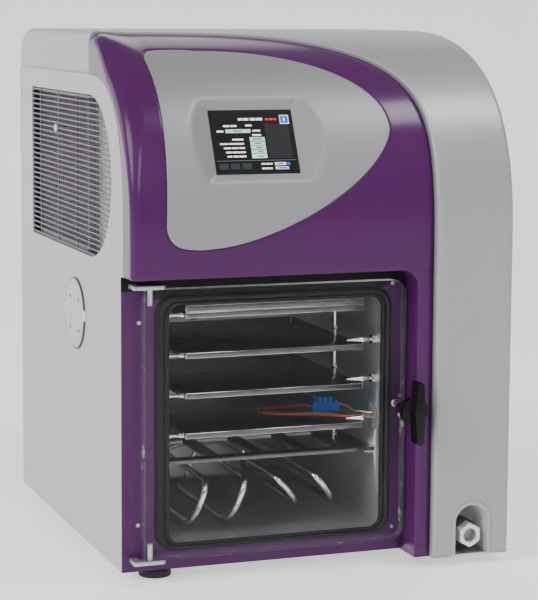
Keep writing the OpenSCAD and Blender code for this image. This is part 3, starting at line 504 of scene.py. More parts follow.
match = np.concatenate([
    np.where(side_g <= mid_g, np.interp(side_g, lip[:mid + 1, 1], lip_run[:mid + 1]),
             lip_run[mid] + upper_share * (lip_run[bend] - lip_run[mid])),
    lip_run[bend] + (column_x - rear_x[1:]) / (column_x - left_r) * (lip_run[turn_at] - lip_run[bend]),
    lip_run[turn_at] + left_share[1:] * (lip_run[-1] - lip_run[turn_at])])
skin = ruled(along(lip, match), outer, 19)


def rim(run, drop):
    """Soft edge of the opening: a quarter round from the lip into the opening, then a wall straight in."""
    base, edge, radius = (np.stack([np.interp(run, lip_run, part) for part in line.T], 1)
                          for line in (opening, lip, soft_r[:, None]))
    turn = quarter(7)[None, :]
    spot = edge[:, None, :] + (base - edge)[:, None, :] * np.sin(turn)[:, :, None]
    wall = silver.place(base[:, :1], base[:, 1:], np.concatenate([radius, radius + drop], 1))
    return np.concatenate([silver.place(spot[..., 0], spot[..., 1], radius * (1 - np.cos(turn))),
                           wall[:, 1:]], 1)


# Patch round the drain arch: straight lines from the arch's soft edge to the edges of the column's foot
low_run = np.interp(low_g, lip[:mid + 1, 1], lip_run[:mid + 1])
foot_frame = np.concatenate([spots(lip[0, 0], low_g), spots(skin[0, 1:, 0], arch_top),
                             spots(column_x, low_g[::-1][1:])])
corner_run = 79.6
arch_run = np.concatenate([np.linspace(0, corner_run, 11),
                           np.linspace(corner_run, arch_whole - corner_run, 19)[1:],
                           np.linspace(arch_whole - corner_run, arch_whole, 11)[1:]])
sweep = np.clip((arch_run - arch_z) / arch_r, 0, np.pi)[:, None]
upright = np.minimum(np.minimum(arch_run, arch_whole - arch_run), arch_z)[:, None]
across, height = arch_x - arch_r * np.cos(sweep), upright + arch_r * np.sin(sweep)
soft = np.radians(np.linspace(90, 0, 5))
growth = arch_soft * (1 - np.sin(soft))
arch_edge = np.concatenate([
    spots(across, arch_depth - silver_front, height),
    spots(across - np.cos(sweep) * growth, arch_soft * (1 - np.cos(soft)) - silver_front,
          np.maximum(height + np.sin(sweep) * growth * (height > 0), 0))], 1)
foot = ruled(arch_edge[:, -1], spots(foot_frame[:, 0], -silver_front, foot_frame[:, 1]), 9)

# Right flank, between the rounded edge and the side panel's curved front edge
curve_y, curve_z = superellipse(2.5, 60)
panel_edge = np.concatenate([[[1.7, 0], [1.7, 449.6], [panel_front, 450.6]],
                             spots(panel_y - (panel_y - panel_front) * curve_y, panel_z + panel_h * curve_z),
                             [[rear_y - 6, seam_z]]])
flank_g = np.unique(np.concatenate([low_g, side_g, down_g]))
knots = np.array([0, 450, 451, 520, silver.at_depth(panel_y), last_g])
flank_to = along(panel_edge, np.interp(flank_g, knots, run_of(panel_edge)[[0, 1, 2, 3, -2, -1]]))
bow = quarter(9)
bow_in, bow_out = 1 - np.cos(bow), 1 - np.sin(bow)
right_edge = silver.place(column_x + right_r * np.sin(bow), flank_g[:, None], right_r * bow_in)
flank = ruled(right_edge[:, -1], spots(body_w, *flank_to.T), 7)

# Left cap: rounded edge of the roof and the flank down to the side panel's seam
cap_from = np.array([silver.at_depth(fascia_back(x) - roof_gap, inset)
                     for x, inset in zip(left_r * bow_out, left_r * bow_in)])
cap_g = np.concatenate([cap_from + (rear_g - cap_from) * left_share[:, None],
                        np.repeat(down_g[1:, None], 9, 1)])
left_edge = silver.place(left_r * bow_out, cap_g, left_r * bow_in)
flange = silver.place(left_r - 2 * np.sin(bow), cap_from, left_r - 2 * np.cos(bow))
cap_foot = spots(0.0, np.linspace(panel_y - roof_gap, rear_y - 6, len(cap_g)), seam_z)

silver_satin = moulded("satin silver", (0.335, 0.335, 0.34), 0.39, grain=1500.0, depth=0.00006, vary=0.04,
                       Metallic=0.25, Specular_IOR_Level=0.45)
piece("silver_moulding_shell", *grids(
    silver.place(skin[..., 0], skin[..., 1]), rim(match, rim_drop), rim(low_run, rim_drop), arch_edge,
    foot,
    silver.place(rear_x[:, None], down_g[None, :]), right_edge, flank, left_edge,
    ruled(left_edge[0], flange, 3), ruled(left_edge[:, -1], cap_foot, 7)),
    [silver_satin], "cabinet", ["silver_shell"], "silver_moulding", wall=shell_wall)

# ---- Purple fascia ----
# A gloss purple moulding rolls over the bay and runs down beside it as a strip. It is hollow, clips
# in behind the silver rim, and its left shoulder grows rounder towards the roof.
fascia_front, rear_limit, end_x, tuck_w, tuck_in = 59.0, 258.0, 16.0, 20.0, 25.0
bay_x, bay_z, bay_r, hem_r, bay_left, plate_gap = 430.0, 425.0, 25.0, 3.0, 12.0, 0.3
bay_top, lintel_z, strip_x = bay_z + bay_r, bay_z + bay_r + hem_r, bay_x + bay_r + hem_r
purple_roll = Roll(fascia_front, 807.0)
top_g = purple_roll.at_depth(rear_limit)


def shoulder(g):
    """Width and depth of the left shoulder, a quarter ellipse: 12 each, growing to 34 and 24 between
    heights 560 and 730, then easing to 16 and 13 between 50 and 160 behind the door plane."""
    rise = eased(np.interp(g, purple_roll.length, purple_roll.z), 560, 730)
    fall = eased(np.interp(g, purple_roll.length, purple_roll.y), 50, 160)
    return 12 + 22 * rise - 18 * fall, 12 + 12 * rise - 11 * fall


def leaf(by=0.0):
    """Outline of the grey inset as X and height, grown by an amount: a straight left side with round
    corners, and two quarter superellipses that meet in a point at the right."""
    tip_x, tip_z, foot_z, head_z = 419, 668, 495, 781
    foot_x, foot_r, head_x, head_r, belly_x, brow_x = 87, 34, 80, 18, 130, 150
    low_x, low_z = superellipse(1.5, 90)
    high_x, high_z = superellipse(2.25, 90)
    foot, head = np.radians(np.linspace(180, 252, 20)), np.radians(np.linspace(90, 162, 16))
    line = np.concatenate([
        spots(foot_x + foot_r * np.cos(foot), foot_z + foot_r * (1 + np.sin(foot))),
        spots(belly_x + (tip_x - belly_x) * low_x, tip_z - (tip_z - foot_z) * low_z)[::-1],
        spots(brow_x + (tip_x - brow_x) * high_x, tip_z + (head_z - tip_z) * high_z)[1:],
        spots(head_x + head_r * np.cos(head), head_z - head_r * (1 - np.sin(head)))[1:]])
    close = np.linspace(0, 1, 90)[1:, None]
    line = np.concatenate([line, line[-1] * (1 - close) + line[0] * close])
    return line + by * outward(line)


def ray_cut(line, centre, angles):
    """Where rays from a centre meet a closed line of points round it."""
    offset = line - centre
    around = np.arctan2(offset[:, 1], offset[:, 0])
    order = np.argsort(around)
    far = np.interp(angles, around[order], np.linalg.norm(offset, axis=1)[order], period=2 * np.pi)
    return centre + far[:, None] * spots(np.cos(angles), np.sin(angles))


# The face's edge as X and length g: along the lintel, up the right side, over the roof and down the left
ridge_g = np.linspace(lintel_z, purple_roll.at_depth(fascia_back(end_x) - rim_gap), 90)
outline_x, outline_z = fascia_edge(0.0)
outline_g = purple_roll.at_height(outline_z)
inside = outline_g < top_g
tuck_x = np.linspace(outline_x[inside][-1], end_x, 40)[1:]
tuck = tuck_in * np.clip((tuck_x - end_x) / tuck_w, 0, 1)
right_side = np.concatenate([[[fascia_w, lintel_z]], spots(outline_x[inside], outline_g[inside])])
lintel_x = np.linspace(bay_left, bay_x, 50)
bay_lintel = spots(np.linspace(bay_x, fascia_w, 7), lintel_z)
face_edge = np.concatenate([
    spots(lintel_x, lintel_z), bay_lintel[1:],
    along(right_side, np.linspace(0, 1, 110)[1:] * run_of(right_side)[-1]),
    spots(tuck_x, purple_roll.at_depth(np.minimum(fascia_back(tuck_x) - rim_gap + tuck, rear_limit))),
    spots(shoulder(ridge_g)[0], ridge_g)[::-1][1:]])
middle = np.array([205.0, float(purple_roll.at_height(650.0))])
ray = np.unwrap(np.arctan2(*(face_edge - middle).T[::-1]))


def round_leaf(by):
    """The inset's outline grown by an amount, met by the rays to the face's own edge."""
    line = leaf(by)
    return ray_cut(spots(line[:, 0], purple_roll.at_height(line[:, 1])), middle, ray)


# The face, with a narrow groove sunk round the inset, and the corner patch beside the bay
groove = np.stack([round_leaf(by) for by in (0.8, 0.2, -5.0)], 1)
face = np.concatenate([ruled(face_edge, round_leaf(1.8), 22), groove], 1)
face_in = np.r_[np.zeros(22), 0.5, 1.9, 2.2]
bay_turn = np.radians(np.linspace(90, 0, 12))
bay_round = spots(np.cos(bay_turn), np.sin(bay_turn))
bay_side = spots(fascia_w, np.linspace(lintel_z, bay_z, 6)[1:])
bay_patch = ruled(np.array([bay_x, bay_z]) + (bay_r + hem_r) * bay_round,
                  np.concatenate([bay_lintel, bay_side]), 4)

# Left shoulder and flank, back to the side panel's curved edge and the cap
top_wide, top_deep = shoulder(top_g)
reach = np.array([purple_roll.at_depth(min(fascia_back(x) - rim_gap, rear_limit), inset)
                  for x, inset in zip(top_wide * bow_out, top_deep * bow_in)])
share = np.linspace(0, 1, len(ridge_g))[:, None]
shoulder_g = np.where(np.arange(9) == 0, ridge_g[:, None], lintel_z + (reach - lintel_z) * share)
wide, deep = shoulder(shoulder_g)
ridge = purple_roll.place(wide * bow_out, shoulder_g, deep * bow_in)
flank_front = panel_front - 0.3
curve = spots(panel_y - (panel_y - flank_front) * curve_y, panel_z + panel_h * curve_z)
flank_edge = np.concatenate([[[flank_front, lintel_z], [flank_front, panel_z]], curve[1:],
                             [[panel_y - rim_gap, ridge[-1, -1, 2]]]])
flank_path = along(flank_edge, np.linspace(0, run_of(flank_edge)[-1], len(ridge_g)))
flank_end = spots(0.0, *flank_path.T)
inward = unit(ridge[:, -1] - flank_end)
seam = [flank_end + inward * by + [x, 0, 0] for by, x in ((1.6, 0.0), (0.7, 0.4), (0.2, 1.3), (0.05, 2.4))]
purple_flank = np.concatenate([ruled(ridge[:, -1], seam[0], 9), np.stack(seam[1:], 1)], 1)

# Lower hem: round the shoulder's foot and along the flank, then the edge of the bay and the strip
hem_turn = quarter(5)
turn_in, turn_out = (1 - np.cos(hem_turn))[None, :, None], (1 - np.sin(hem_turn))[None, :, None]
hem_foot = np.concatenate([ridge[0], purple_flank[0, 1:]])
hem_in = np.concatenate([spots(np.sin(bow), np.cos(bow), 0.0), np.tile([1.0, 0, 0], (11, 1))])
hem = (hem_foot[:, None, :] + hem_r * hem_in[:, None, :] * turn_in
       - np.array([0, 0, hem_r]) * np.sin(hem_turn)[None, :, None])
bay_path = np.concatenate([spots(lintel_x, bay_top), ([bay_x, bay_z] + bay_r * bay_round)[1:],
                           spots(bay_x + bay_r, np.linspace(bay_z, 0, 21)[1:])])
bay_out = np.concatenate([np.tile([0.0, 1.0], (50, 1)), bay_round[1:], np.tile([1.0, 0.0], (20, 1))])
bay_face = bay_path[:, None, :] + hem_r * bay_out[:, None, :] * turn_out
bay_edge = spots(bay_face[..., 0], -fascia_front + hem_r * (1 - np.cos(hem_turn)), bay_face[..., 1])
bay_wall = ruled(bay_edge[:, -1], spots(bay_path[:, 0], -plate_gap, bay_path[:, 1]), 4)
under_y = np.linspace(hem_r - fascia_front, -plate_gap, len(hem))
under = ruled(hem[:, -1], spots(bay_left, under_y, bay_top), 2)
strip_z = np.linspace(bay_z, 0, 21)
strip = ruled(spots(strip_x, -fascia_front, strip_z), spots(fascia_w, -fascia_front, strip_z), 4)

purple_gloss = moulded("gloss purple", (0.068, 0.0118, 0.081), 0.21, grain=900.0, depth=0.00001, vary=0.05,
                       Coat_Weight=0.05, Coat_Roughness=0.10, Specular_IOR_Level=0.2)
piece("purple_moulding_fascia", *grids(
    purple_roll.place(face[..., 0], face[..., 1], face_in),
    purple_roll.place(bay_patch[..., 0], bay_patch[..., 1]),
    ridge, purple_flank, hem, bay_edge, bay_wall, under, strip),
    [purple_gloss], "cabinet", ["upper_fascia"], "purple_moulding", wall=shell_wall)

# ---- Grey inset ----
# A satin grey skin lies 1.5 mm proud of the fascia. A dish falls from it to the screen, with soft
# creases from the corners of the glass. It carries no lettering.
half_w, half_h, edge_r, skirt = 66.5, 52.0, 1.2, 3.0
glass_x0, glass_z0, glass_sink, extra_lean = 202.0, 648.0, 16.0, 2.0
dish_rise, dish_soft, crest_soft = 40 / 93.5, 6.0, 3.0
grey_roll = Roll(fascia_front + 1.5, 808.5)
low_y, high_y = purple_roll.y_at([glass_z0 - 20, glass_z0 + 20])
lean = math.radians(extra_lean) + math.atan((high_y - low_y) / 40)
glass_x = np.array([1.0, 0.0, 0.0])
glass_up = np.array([0.0, math.sin(lean), math.cos(lean)])
glass_out = np.array([0.0, -math.cos(lean), math.sin(lean)])
glass_mid = np.array([glass_x0, purple_roll.y_at(glass_z0) + glass_sink, glass_z0])


def on_glass(u, v, w):
    """Points from the screen's own axes: u across, v up the glass, w out of it."""
    u, v, w = np.broadcast_arrays(u, v, w)
    return glass_mid + u[..., None] * glass_x + v[..., None] * glass_up + w[..., None] * glass_out


def smooth_least(a, b, soft):
    """The smaller of two numbers, with the corner between them rounded over a width."""
    share = np.clip(0.5 + 0.5 * (b - a) / soft, 0, 1)
    return b + (a - b) * share - soft * share * (1 - share)


skin_line = spots(grey_roll.y, grey_roll.z) - glass_mid[1:]
skin_v, skin_w = skin_line @ glass_up[1:], skin_line @ glass_out[1:]
usable = slice(0, int(np.argmax(skin_v)) + 1)


def skin_height(v):
    """How far the grey skin stands out of the glass's plane, at v up the glass."""
    return np.interp(v, skin_v[usable], skin_w[usable])


# Rays from the middle of the glass meet its frame and the leaf; the dish rises between the two
leaf_x, leaf_z = leaf().T
leaf_v = (spots(grey_roll.y_at(leaf_z), leaf_z) - glass_mid[1:]) @ glass_up[1:]
tilt_c = math.atan2(half_h, half_w)
angles = np.unique(np.r_[np.linspace(-np.pi, np.pi, 541), tilt_c, np.pi - tilt_c, -tilt_c, tilt_c - np.pi])
beam = spots(np.cos(angles), np.sin(angles))
leaf_cut = ray_cut(spots(leaf_x - glass_x0, leaf_v), np.zeros(2), angles)
frame_cut = ([half_w, half_h] / np.maximum(np.abs(beam), 1e-9)).min(axis=1)[:, None] * beam
trimmed = leaf_cut * (1 - edge_r / np.linalg.norm(leaf_cut, axis=1))[:, None]
spread = np.linspace(0, 1, 40)[None, :, None] ** 1.2
flat = frame_cut[:, None, :] * (1 - spread) + trimmed[:, None, :] * spread
side_u, side_v = half_w - np.abs(flat[..., 0]), half_h - np.abs(flat[..., 1])
dish = np.maximum(-smooth_least(side_u, side_v, dish_soft) * dish_rise, 0)
height = smooth_least(skin_height(flat[..., 1]), dish, crest_soft)
height[:, 0] = 0.0
edge_turn = np.radians([30, 60, 90])
edge_flat = trimmed[:, None, :] + (leaf_cut - trimmed)[:, None, :] * np.sin(edge_turn)[None, :, None]
edge_height = skin_height(edge_flat[..., 1]) - edge_r * (1 - np.cos(edge_turn))
leaf_rows = np.concatenate([
    on_glass(*frame_cut.T, -skirt)[:, None], on_glass(flat[..., 0], flat[..., 1], height),
    on_glass(edge_flat[..., 0], edge_flat[..., 1], edge_height),
    on_glass(*leaf_cut.T, edge_height[:, -1] - skirt)[:, None]], 1)
grey_satin = moulded("satin grey", (0.265, 0.265, 0.272), 0.46, grain=1500.0, depth=0.00006, vary=0.04,
                     Metallic=0.25)
piece("grey_inset_dish", *grids(leaf_rows), [grey_satin], "cabinet", ["control_inset"],
      "grey_moulding", wall=1.4)

# ---- Touch screen ----
# A dark glass front shows a page of status fields. Its marks are plain bars and cells with no words;
# each cell of the glass takes the finish of the mark that covers it.
screen_w, screen_h, border, glass_t = 131.0, 102.0, 2.6, 3.0
screen_finishes = [  # name, colour and glow; number 0 is the dark border
    ("dark glass border", (0.012, 0.013, 0.014), None), ("screen black", (0.008, 0.009, 0.010), 0.0),
    ("screen panel", (0.022, 0.023, 0.025), 0.1), ("screen rule", (0.16, 0.17, 0.17), 0.2),
    ("screen label", (0.85, 0.87, 0.85), 0.55), ("screen red", (0.55, 0.03, 0.03), 0.5),
    ("screen pale", (0.70, 0.82, 0.78), 0.55), ("screen blue", (0.02, 0.09, 0.50), 0.55),
    ("screen mint", (0.42, 0.66, 0.57), 0.5), ("screen digit", (0.10, 0.17, 0.15), 0.2),
    ("screen button", (0.035, 0.04, 0.042), 0.15)]
mark_rows = [  # a finish's number, top and bottom, and the two ends of each mark, as shares of the picture
    (1, 0, 1, (0, 1)), (2, 0.2, 0.775, (0.66, 0.965)), (3, 0.805, 0.812, (0, 1)),
    (4, 0.10, 0.14, (0.34, 0.39, 0.40, 0.47, 0.49, 0.56, 0.57, 0.645)),
    (5, 0.105, 0.142, (0.68, 0.72, 0.73, 0.78, 0.79, 0.825)),
    (6, 0.055, 0.205, (0.865, 0.98)), (7, 0.07, 0.19, (0.875, 0.97)), (4, 0.10, 0.16, (0.912, 0.932)),
    (4, 0.215, 0.245, (0.14, 0.22, 0.23, 0.31)), (4, 0.21, 0.24, (0.42, 0.50)),
    (4, 0.305, 0.335, (0.05, 0.135)), (8, 0.285, 0.347, (0.16, 0.475)), (9, 0.305, 0.328, (0.26, 0.37)),
    (4, 0.30, 0.328, (0.50, 0.60)), (4, 0.372, 0.40, (0.49, 0.60)), (4, 0.445, 0.472, (0.23, 0.37)),
    (4, 0.515, 0.542, (0.07, 0.17, 0.18, 0.37)),
    (4, 0.585, 0.612, (0.11, 0.20, 0.21, 0.29, 0.30, 0.375)),
    (4, 0.655, 0.682, (0.13, 0.20, 0.21, 0.30, 0.31, 0.378)),
    (4, 0.725, 0.752, (0.14, 0.20, 0.215, 0.28, 0.29, 0.378)),
    (8, 0.420, 0.482, (0.45, 0.64)), (8, 0.492, 0.552, (0.45, 0.64)), (8, 0.562, 0.625, (0.45, 0.64)),
    (8, 0.635, 0.697, (0.45, 0.64)), (6, 0.707, 0.770, (0.45, 0.64)),
    (9, 0.44, 0.462, (0.49, 0.60)), (9, 0.512, 0.534, (0.51, 0.59)), (9, 0.583, 0.606, (0.52, 0.59)),
    (9, 0.655, 0.677, (0.53, 0.60)), (9, 0.728, 0.75, (0.52, 0.60)),
    (10, 0.855, 0.95, (0.02, 0.135, 0.165, 0.28, 0.31, 0.43)),
    (4, 0.855, 0.882, (0.55, 0.60, 0.61, 0.69)), (4, 0.93, 0.956, (0.55, 0.685)),
    (6, 0.845, 0.893, (0.72, 0.86)), (7, 0.845, 0.893, (0.86, 0.915)), (8, 0.915, 0.962, (0.72, 0.89)),
    (9, 0.86, 0.88, (0.75, 0.83)), (9, 0.93, 0.95, (0.76, 0.86))]
marks = np.array([(left, right, top, bottom, number) for number, top, bottom, ends in mark_rows
                  for left, right in zip(ends[::2], ends[1::2])])
column, line_up = np.unique(marks[:, :2]), np.unique(marks[:, 2:4])
mid_x, mid_y = (column[1:, None] + column[:-1, None]) / 2, (line_up[1:] + line_up[:-1]) / 2
left, right, top, bottom = marks[:, :4].T[:, :, None, None]
covers = (left < mid_x) & (right > mid_x) & (top < mid_y) & (bottom > mid_y)
topmost = len(marks) - 1 - np.argmax(covers[::-1], axis=0)
half_screen = np.array([screen_w, screen_h]) / 2
half_picture = half_screen - border
picture = on_glass((2 * column[:, None] - 1) * half_picture[0], (1 - 2 * line_up) * half_picture[1], 0.0)
around = np.concatenate([picture[:, 0], picture[-1, 1:], picture[::-1, -1][1:], picture[0, ::-1][1:]])
around_uv = (around - glass_mid) @ np.stack([glass_x, glass_up], 1)
on_edge = np.isclose(np.abs(around_uv), half_picture)
rim_u, rim_v = np.where(on_edge, np.sign(around_uv) * half_screen, around_uv).T
bezel = np.stack([around] + [on_glass(rim_u * by, rim_v * by, depth)
                             for by, depth in ((1, 0.0), (1, -glass_t), (0, -glass_t))], 1)
screen_paints = []
for finish_name, colour, glow in screen_finishes:
    if glow is None:
        screen_paints.append(Paint(finish_name, Base_Color=tone(*colour), Roughness=0.12).material)
        continue
    glass = Paint(finish_name, Roughness=0.14, Emission_Strength=glow)
    lit = glass.blend(glass.noise(2600.0, detail=0.0), tone(*colour, by=0.86), tone(*colour, by=1.12))
    screen_paints.append(glass.feed(Base_Color=lit, Emission_Color=lit))
screen_points, screen_faces = grids(picture, bezel)
finish_of = np.zeros(len(screen_faces), np.int32)
finish_of[: topmost.size] = marks[topmost.ravel(), 4]
piece("status_screen", screen_points, screen_faces, screen_paints, "cabinet", ["touchscreen"],
      "screen_glass", faces_of=finish_of)

# ---- Side panels, base pan and deck ----
# Powder-coated sheet steel closes both sides and the underside. The vent opening and the port hole
# are cut in the left sheet, and all of it is screwed to the base pan.


def coat(nodes, material):
    """Gives CAD nodes a finish on all their material slots."""
    for node in nodes:
        for place in frame["nodes"][node].material_slots:
            place.material = material


def remade(node, name, material, edge=0.0, where=None, cut_above=None, second=()):
    """Remakes a CAD node: joins its equal points and flat neighbours, then rounds its sharp edges by a
    width in millimetres. where takes the edges' middles in cabinet millimetres and picks some of them;
    second holds a finish for the faces square to the front and one for the slanting ones."""
    source = frame["nodes"][node]
    work = bmesh.new()
    work.from_mesh(source.data)
    bmesh.ops.remove_doubles(work, verts=work.verts, dist=2e-6)
    bmesh.ops.dissolve_limit(work, angle_limit=math.radians(1.0), verts=work.verts, edges=work.edges)
    if cut_above:
        cut = bmesh.ops.bisect_plane(
            work, geom=work.verts[:] + work.edges[:] + work.faces[:],
            plane_co=at([0, 0, cut_above]).tolist(), plane_no=(0, 0, 1), clear_outer=True)
        cut_edges = [part for part in cut["geom_cut"] if isinstance(part, bmesh.types.BMEdge)]
        bmesh.ops.holes_fill(work, edges=cut_edges)
    if edge:
        corners = [line for line in work.edges
                   if line.is_manifold and line.calc_face_angle() > math.radians(28)]
        if where is not None:
            middles = np.array([(line.verts[0].co + line.verts[1].co) / 2 for line in corners])
            picked = where(*((middles - corner) * 1000).T)
            corners = [line for line, taken in zip(corners, picked) if taken]
        bmesh.ops.bevel(work, geom=corners, offset=edge / 1000, offset_type="OFFSET", segments=2,
                        profile=0.5, affect="EDGES", clamp_overlap=True)
    mesh = bpy.data.meshes.new(name)
    work.to_mesh(mesh)
    work.free()
    finishes = [material, *second]
    for finish in finishes:
        mesh.materials.append(finish)
    normals = np.empty(len(mesh.polygons) * 3)
    mesh.polygons.foreach_get("normal", normals)
    facing = np.abs(normals[1::3])
    number = np.where(facing > 0.97, 0, np.where(facing < 0.2, 1, 2))
    mesh.polygons.foreach_set("material_index", np.minimum(number, len(finishes) - 1).astype(np.int32))
    shade(mesh)
    mounted(name, mesh, source["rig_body"], [node])


powder_grey = moulded("powder coat grey", (0.44, 0.44, 0.445), 0.52, grain=1100.0, depth=0.00010, vary=0.03,
                      Specular_IOR_Level=0.4)
zinc = Paint("zinc plated sheet", Metallic=0.85)
flake = zinc.add("ShaderNodeTexVoronoi", {"feature": "F1"}, {"Vector": zinc.place, "Scale": 90.0}, "Color")
spangle = zinc.add("ShaderNodeSeparateColor", {}, {"Color": flake}, "Red")
zinc_sheet = zinc.feed(
    Base_Color=zinc.blend(spangle, tone(0.40, 0.41, 0.42), tone(0.58, 0.59, 0.60)),
    Roughness=spangle * 0.16 + zinc.noise(40.0) * 0.1 + 0.3,
    Normal=zinc.relief(zinc.noise(700.0), 0.2, 0.00006))
coat(["left_side_panel", "right_side_panel"], powder_grey)
coat(["base_pan", "deck_plate", "air_baffle_panel", "chamber_brackets", "fan_shroud"], zinc_sheet)

# ---- Rear panel ----
# The rear sheet carries the air grille, the vacuum pipe and the mains inlet. It stops at the seam
# below the moulded roof, whose rear edge turns down to meet it.
remade("rear_panel", "rear_sheet", powder_grey, cut_above=744.0)

# ---- Feet ----
# Four feet of black rubber moulded on threaded steel studs. The studs screw into the base pan, and
# each foot is turned to level the machine.
black_rubber = moulded("black rubber", (0.022, 0.022, 0.023), 0.62, grain=1300.0, depth=0.0001, vary=0.25,
                       Specular_IOR_Level=0.3)
remade("leveling_feet", "rubber_feet", black_rubber, edge=1.2,
       where=lambda x, y, z: z < 2)

# ---- Side vent ----
# A moulded insert of thin bars fills the vent opening in the left panel, with an air baffle behind
# it. One domed white screw holds its rear end.
vent_y, vent_z, vent_r, vent_rear = 176.0, 587.0, 126.0, 552.0
bar_r, bar_step, bar_half, rib_t = 125.4, 8.4, 1.35, 3.0
vent_grey = moulded("vent grey", (0.115, 0.103, 0.12), 0.5, grain=900.0, vary=0.06)
bar_z = vent_z - vent_r + bar_step * (np.arange(30) + 0.3) + 2.0
bar_front = vent_y - np.sqrt(bar_r**2 - (bar_z - vent_z) ** 2)
rib_y = np.array([140.0, 260.0, 380.0, 500.0])
rib_half = np.sqrt(bar_r**2 - np.maximum(vent_y - rib_y, 0.0) ** 2)
bars = [((0.5, y, z - bar_half), (3.0, vent_rear - 0.8, z + bar_half)) for y, z in zip(bar_front, bar_z)]
ribs = [((2.6, y, vent_z - h), (4.8, y + rib_t, vent_z + h)) for y, h in zip(rib_y, rib_half)]
piece("vent_grille_bars", *blocks(bars + ribs), [vent_grey], "cabinet", ["side_vent_grille"],
      "grey_moulding", edge=0.5)


def vent_edge(by):
    """The vent's outline as Y and Z, grown by an amount: a half circle in front and square rear corners."""
    a = np.radians(np.linspace(-90, -270, 49))
    arc = spots(vent_y + (vent_r + by) * np.cos(a), vent_z + (vent_r + by) * np.sin(a))
    rear = [[vent_rear + by, vent_z + vent_r + by], [vent_rear + by, vent_z - vent_r - by]]
    return np.concatenate([arc, rear, arc[:1]])


rim_profile = [(8.5, 2.0), (-1.2, 2.0), (-1.6, 2.4), (-1.6, 4.6), (-1.2, 5.0), (8.5, 5.0), (8.5, 2.0)]
rim_rows = np.stack([spots(x, *vent_edge(by).T) for by, x in rim_profile], 1)
piece("vent_grille_rim", *grids(rim_rows), [vent_grey], "cabinet", slot="grey_moulding")

dome_x = np.array([0.4, 0.4, -0.8, -1.5, -2.1, -2.55, -2.8, -2.9, -2.9])
dome_r = np.array([0.0, 6.5, 6.5, 6.3, 5.6, 4.4, 2.8, 1.2, 0.0])
round_a = np.linspace(0, 2 * np.pi, 33)[:, None]
dome = spots(dome_x, 385 + dome_r * np.cos(round_a), 650 + dome_r * np.sin(round_a))
white_nylon = moulded("white nylon", (0.66, 0.65, 0.61), 0.38, grain=600.0, vary=0.08,
                      Specular_IOR_Level=0.5)
piece("vent_screw_dome", *grids(dome), [white_nylon], "cabinet", ["vent_screw"], "white_plastic")

# ---- Port cover and panel screws ----
# A round cover with a turned-down rim closes the port in the side. Four countersunk screws hold it,
# and six more hold the rear edges of the side panels.
port_y, port_z = 262.0, 360.0


def metal(name, dark, light, marks, roughness, relief, grain=None, **fixed):
    """Worked metal: its marks, one noise, go from dark to light and add to the roughness, given as the
    least and what is added. The same noise, or a finer grain, stands in relief."""
    paint = Paint(name, **fixed)
    worn = paint.noise(*marks)
    least, added = roughness
    return paint.feed(
        Base_Color=paint.blend(worn, tone(*dark), tone(*light)), Roughness=worn * added + least,
        Normal=paint.relief(paint.noise(grain) if grain else worn, *relief))


screw_zinc = metal("bright zinc screw", (0.42, 0.42, 0.43), (0.66, 0.66, 0.66), marks=(900.0,),
                   roughness=(0.22, 0.20), relief=(0.25, 0.00005), Metallic=1.0)
screw_black = moulded("blackened screw", (0.03, 0.03, 0.032), 0.4, grain=900.0, vary=0.2, Metallic=0.4)
cover = Paint("turned cover steel", Metallic=0.3)
port_mid = tuple(at([-2, port_y, port_z]).tolist())
cover_r = cover.add("ShaderNodeVectorMath", {"operation": "DISTANCE"}, {0: cover.place, 1: port_mid}, 1)
# Painted reflection on the cover's rim: near black all round, with a painted bright glint in a band between
# heights 352 and 374.
rim_painted_glint = cover.blend(cover.step(2, 352, 358) * cover.step(2, 374, 367), grey(0.07),
                     grey(0.95))
lathe_mark = cover.noise(700.0)
cover_steel = cover.feed(
    Base_Color=cover.blend(cover.between(cover_r, 0.0540, 0.0558), tone(0.46, 0.465, 0.445), rim_painted_glint),
    Roughness=lathe_mark * 0.1 + 0.36, Normal=cover.relief(lathe_mark, 0.2, 0.00005))
remade("side_port_cover", "port_cover_plate", cover_steel, edge=0.8,
       where=lambda x, y, z: (x < -2.9) & (np.hypot(y - port_y, z - port_z) > 50))
coat(["port_cover_screws"], screw_black)
coat(["panel_screws", "surround_screws", "latch_keeper"], screw_zinc)

# ---- Door surround ----
# A flat purple plate closes the front round the chamber's mouth, with the same gloss as the fascia.
# Under the fascia's overhang the plate is painted near black down to the door gasket, a painted shadow, and
# made rougher there.
plate = Paint("surround purple", Specular_IOR_Level=0.2, Coat_Weight=0.05, Coat_Roughness=0.10)
# Painted shadow under the fascia's overhang: above height 412 the plate goes near black, its lower edge
# higher near the sides, ending before X 452.
overhang_shade_rise = (plate.step(0, 412, 440) + plate.step(0, 48, 30)) * 0.014
overhang_shade = plate.step(2, 412, 415, lowered=overhang_shade_rise) * plate.step(0, 452, 446)
plate_grain = plate.noise(900.0)
surround_purple = plate.feed(
    Base_Color=plate.blend(overhang_shade, tone(0.066, 0.0115, 0.079), tone(0.004, 0.0035, 0.0045)),
    Roughness=plate_grain * 0.04 + overhang_shade * 0.4 + 0.19, Normal=plate.relief(plate_grain, 0.3, 0.00002))
remade("door_surround", "surround_plate", surround_purple, edge=0.4,
       where=lambda x, y, z: (y < 0.1) & ((x < 1) | (z < 1)))

# ---- Chamber ----
# A welded stainless box with a rounded mouth and a flange. Its walls are brushed along their depth and
# dulled by frost and cleaning.
steel = Paint("brushed steel", Metallic=0.85)
brushed = steel.noise(1500.0, stretch=(1, 0.02, 1))
haze = steel.noise(14.0, detail=3.0)
brushed_steel = steel.feed(
    Base_Color=steel.blend(haze * 0.6 + brushed * 0.4, grey(0.50), tone(0.76, 0.76, 0.755)),
    Roughness=brushed * 0.16 + haze * 0.14 + 0.24, Normal=steel.relief(brushed, 0.12, 0.00004))
remade("chamber_tank", "chamber_walls", brushed_steel)
remade("chamber_flange", "chamber_rim", brushed_steel, edge=0.6)

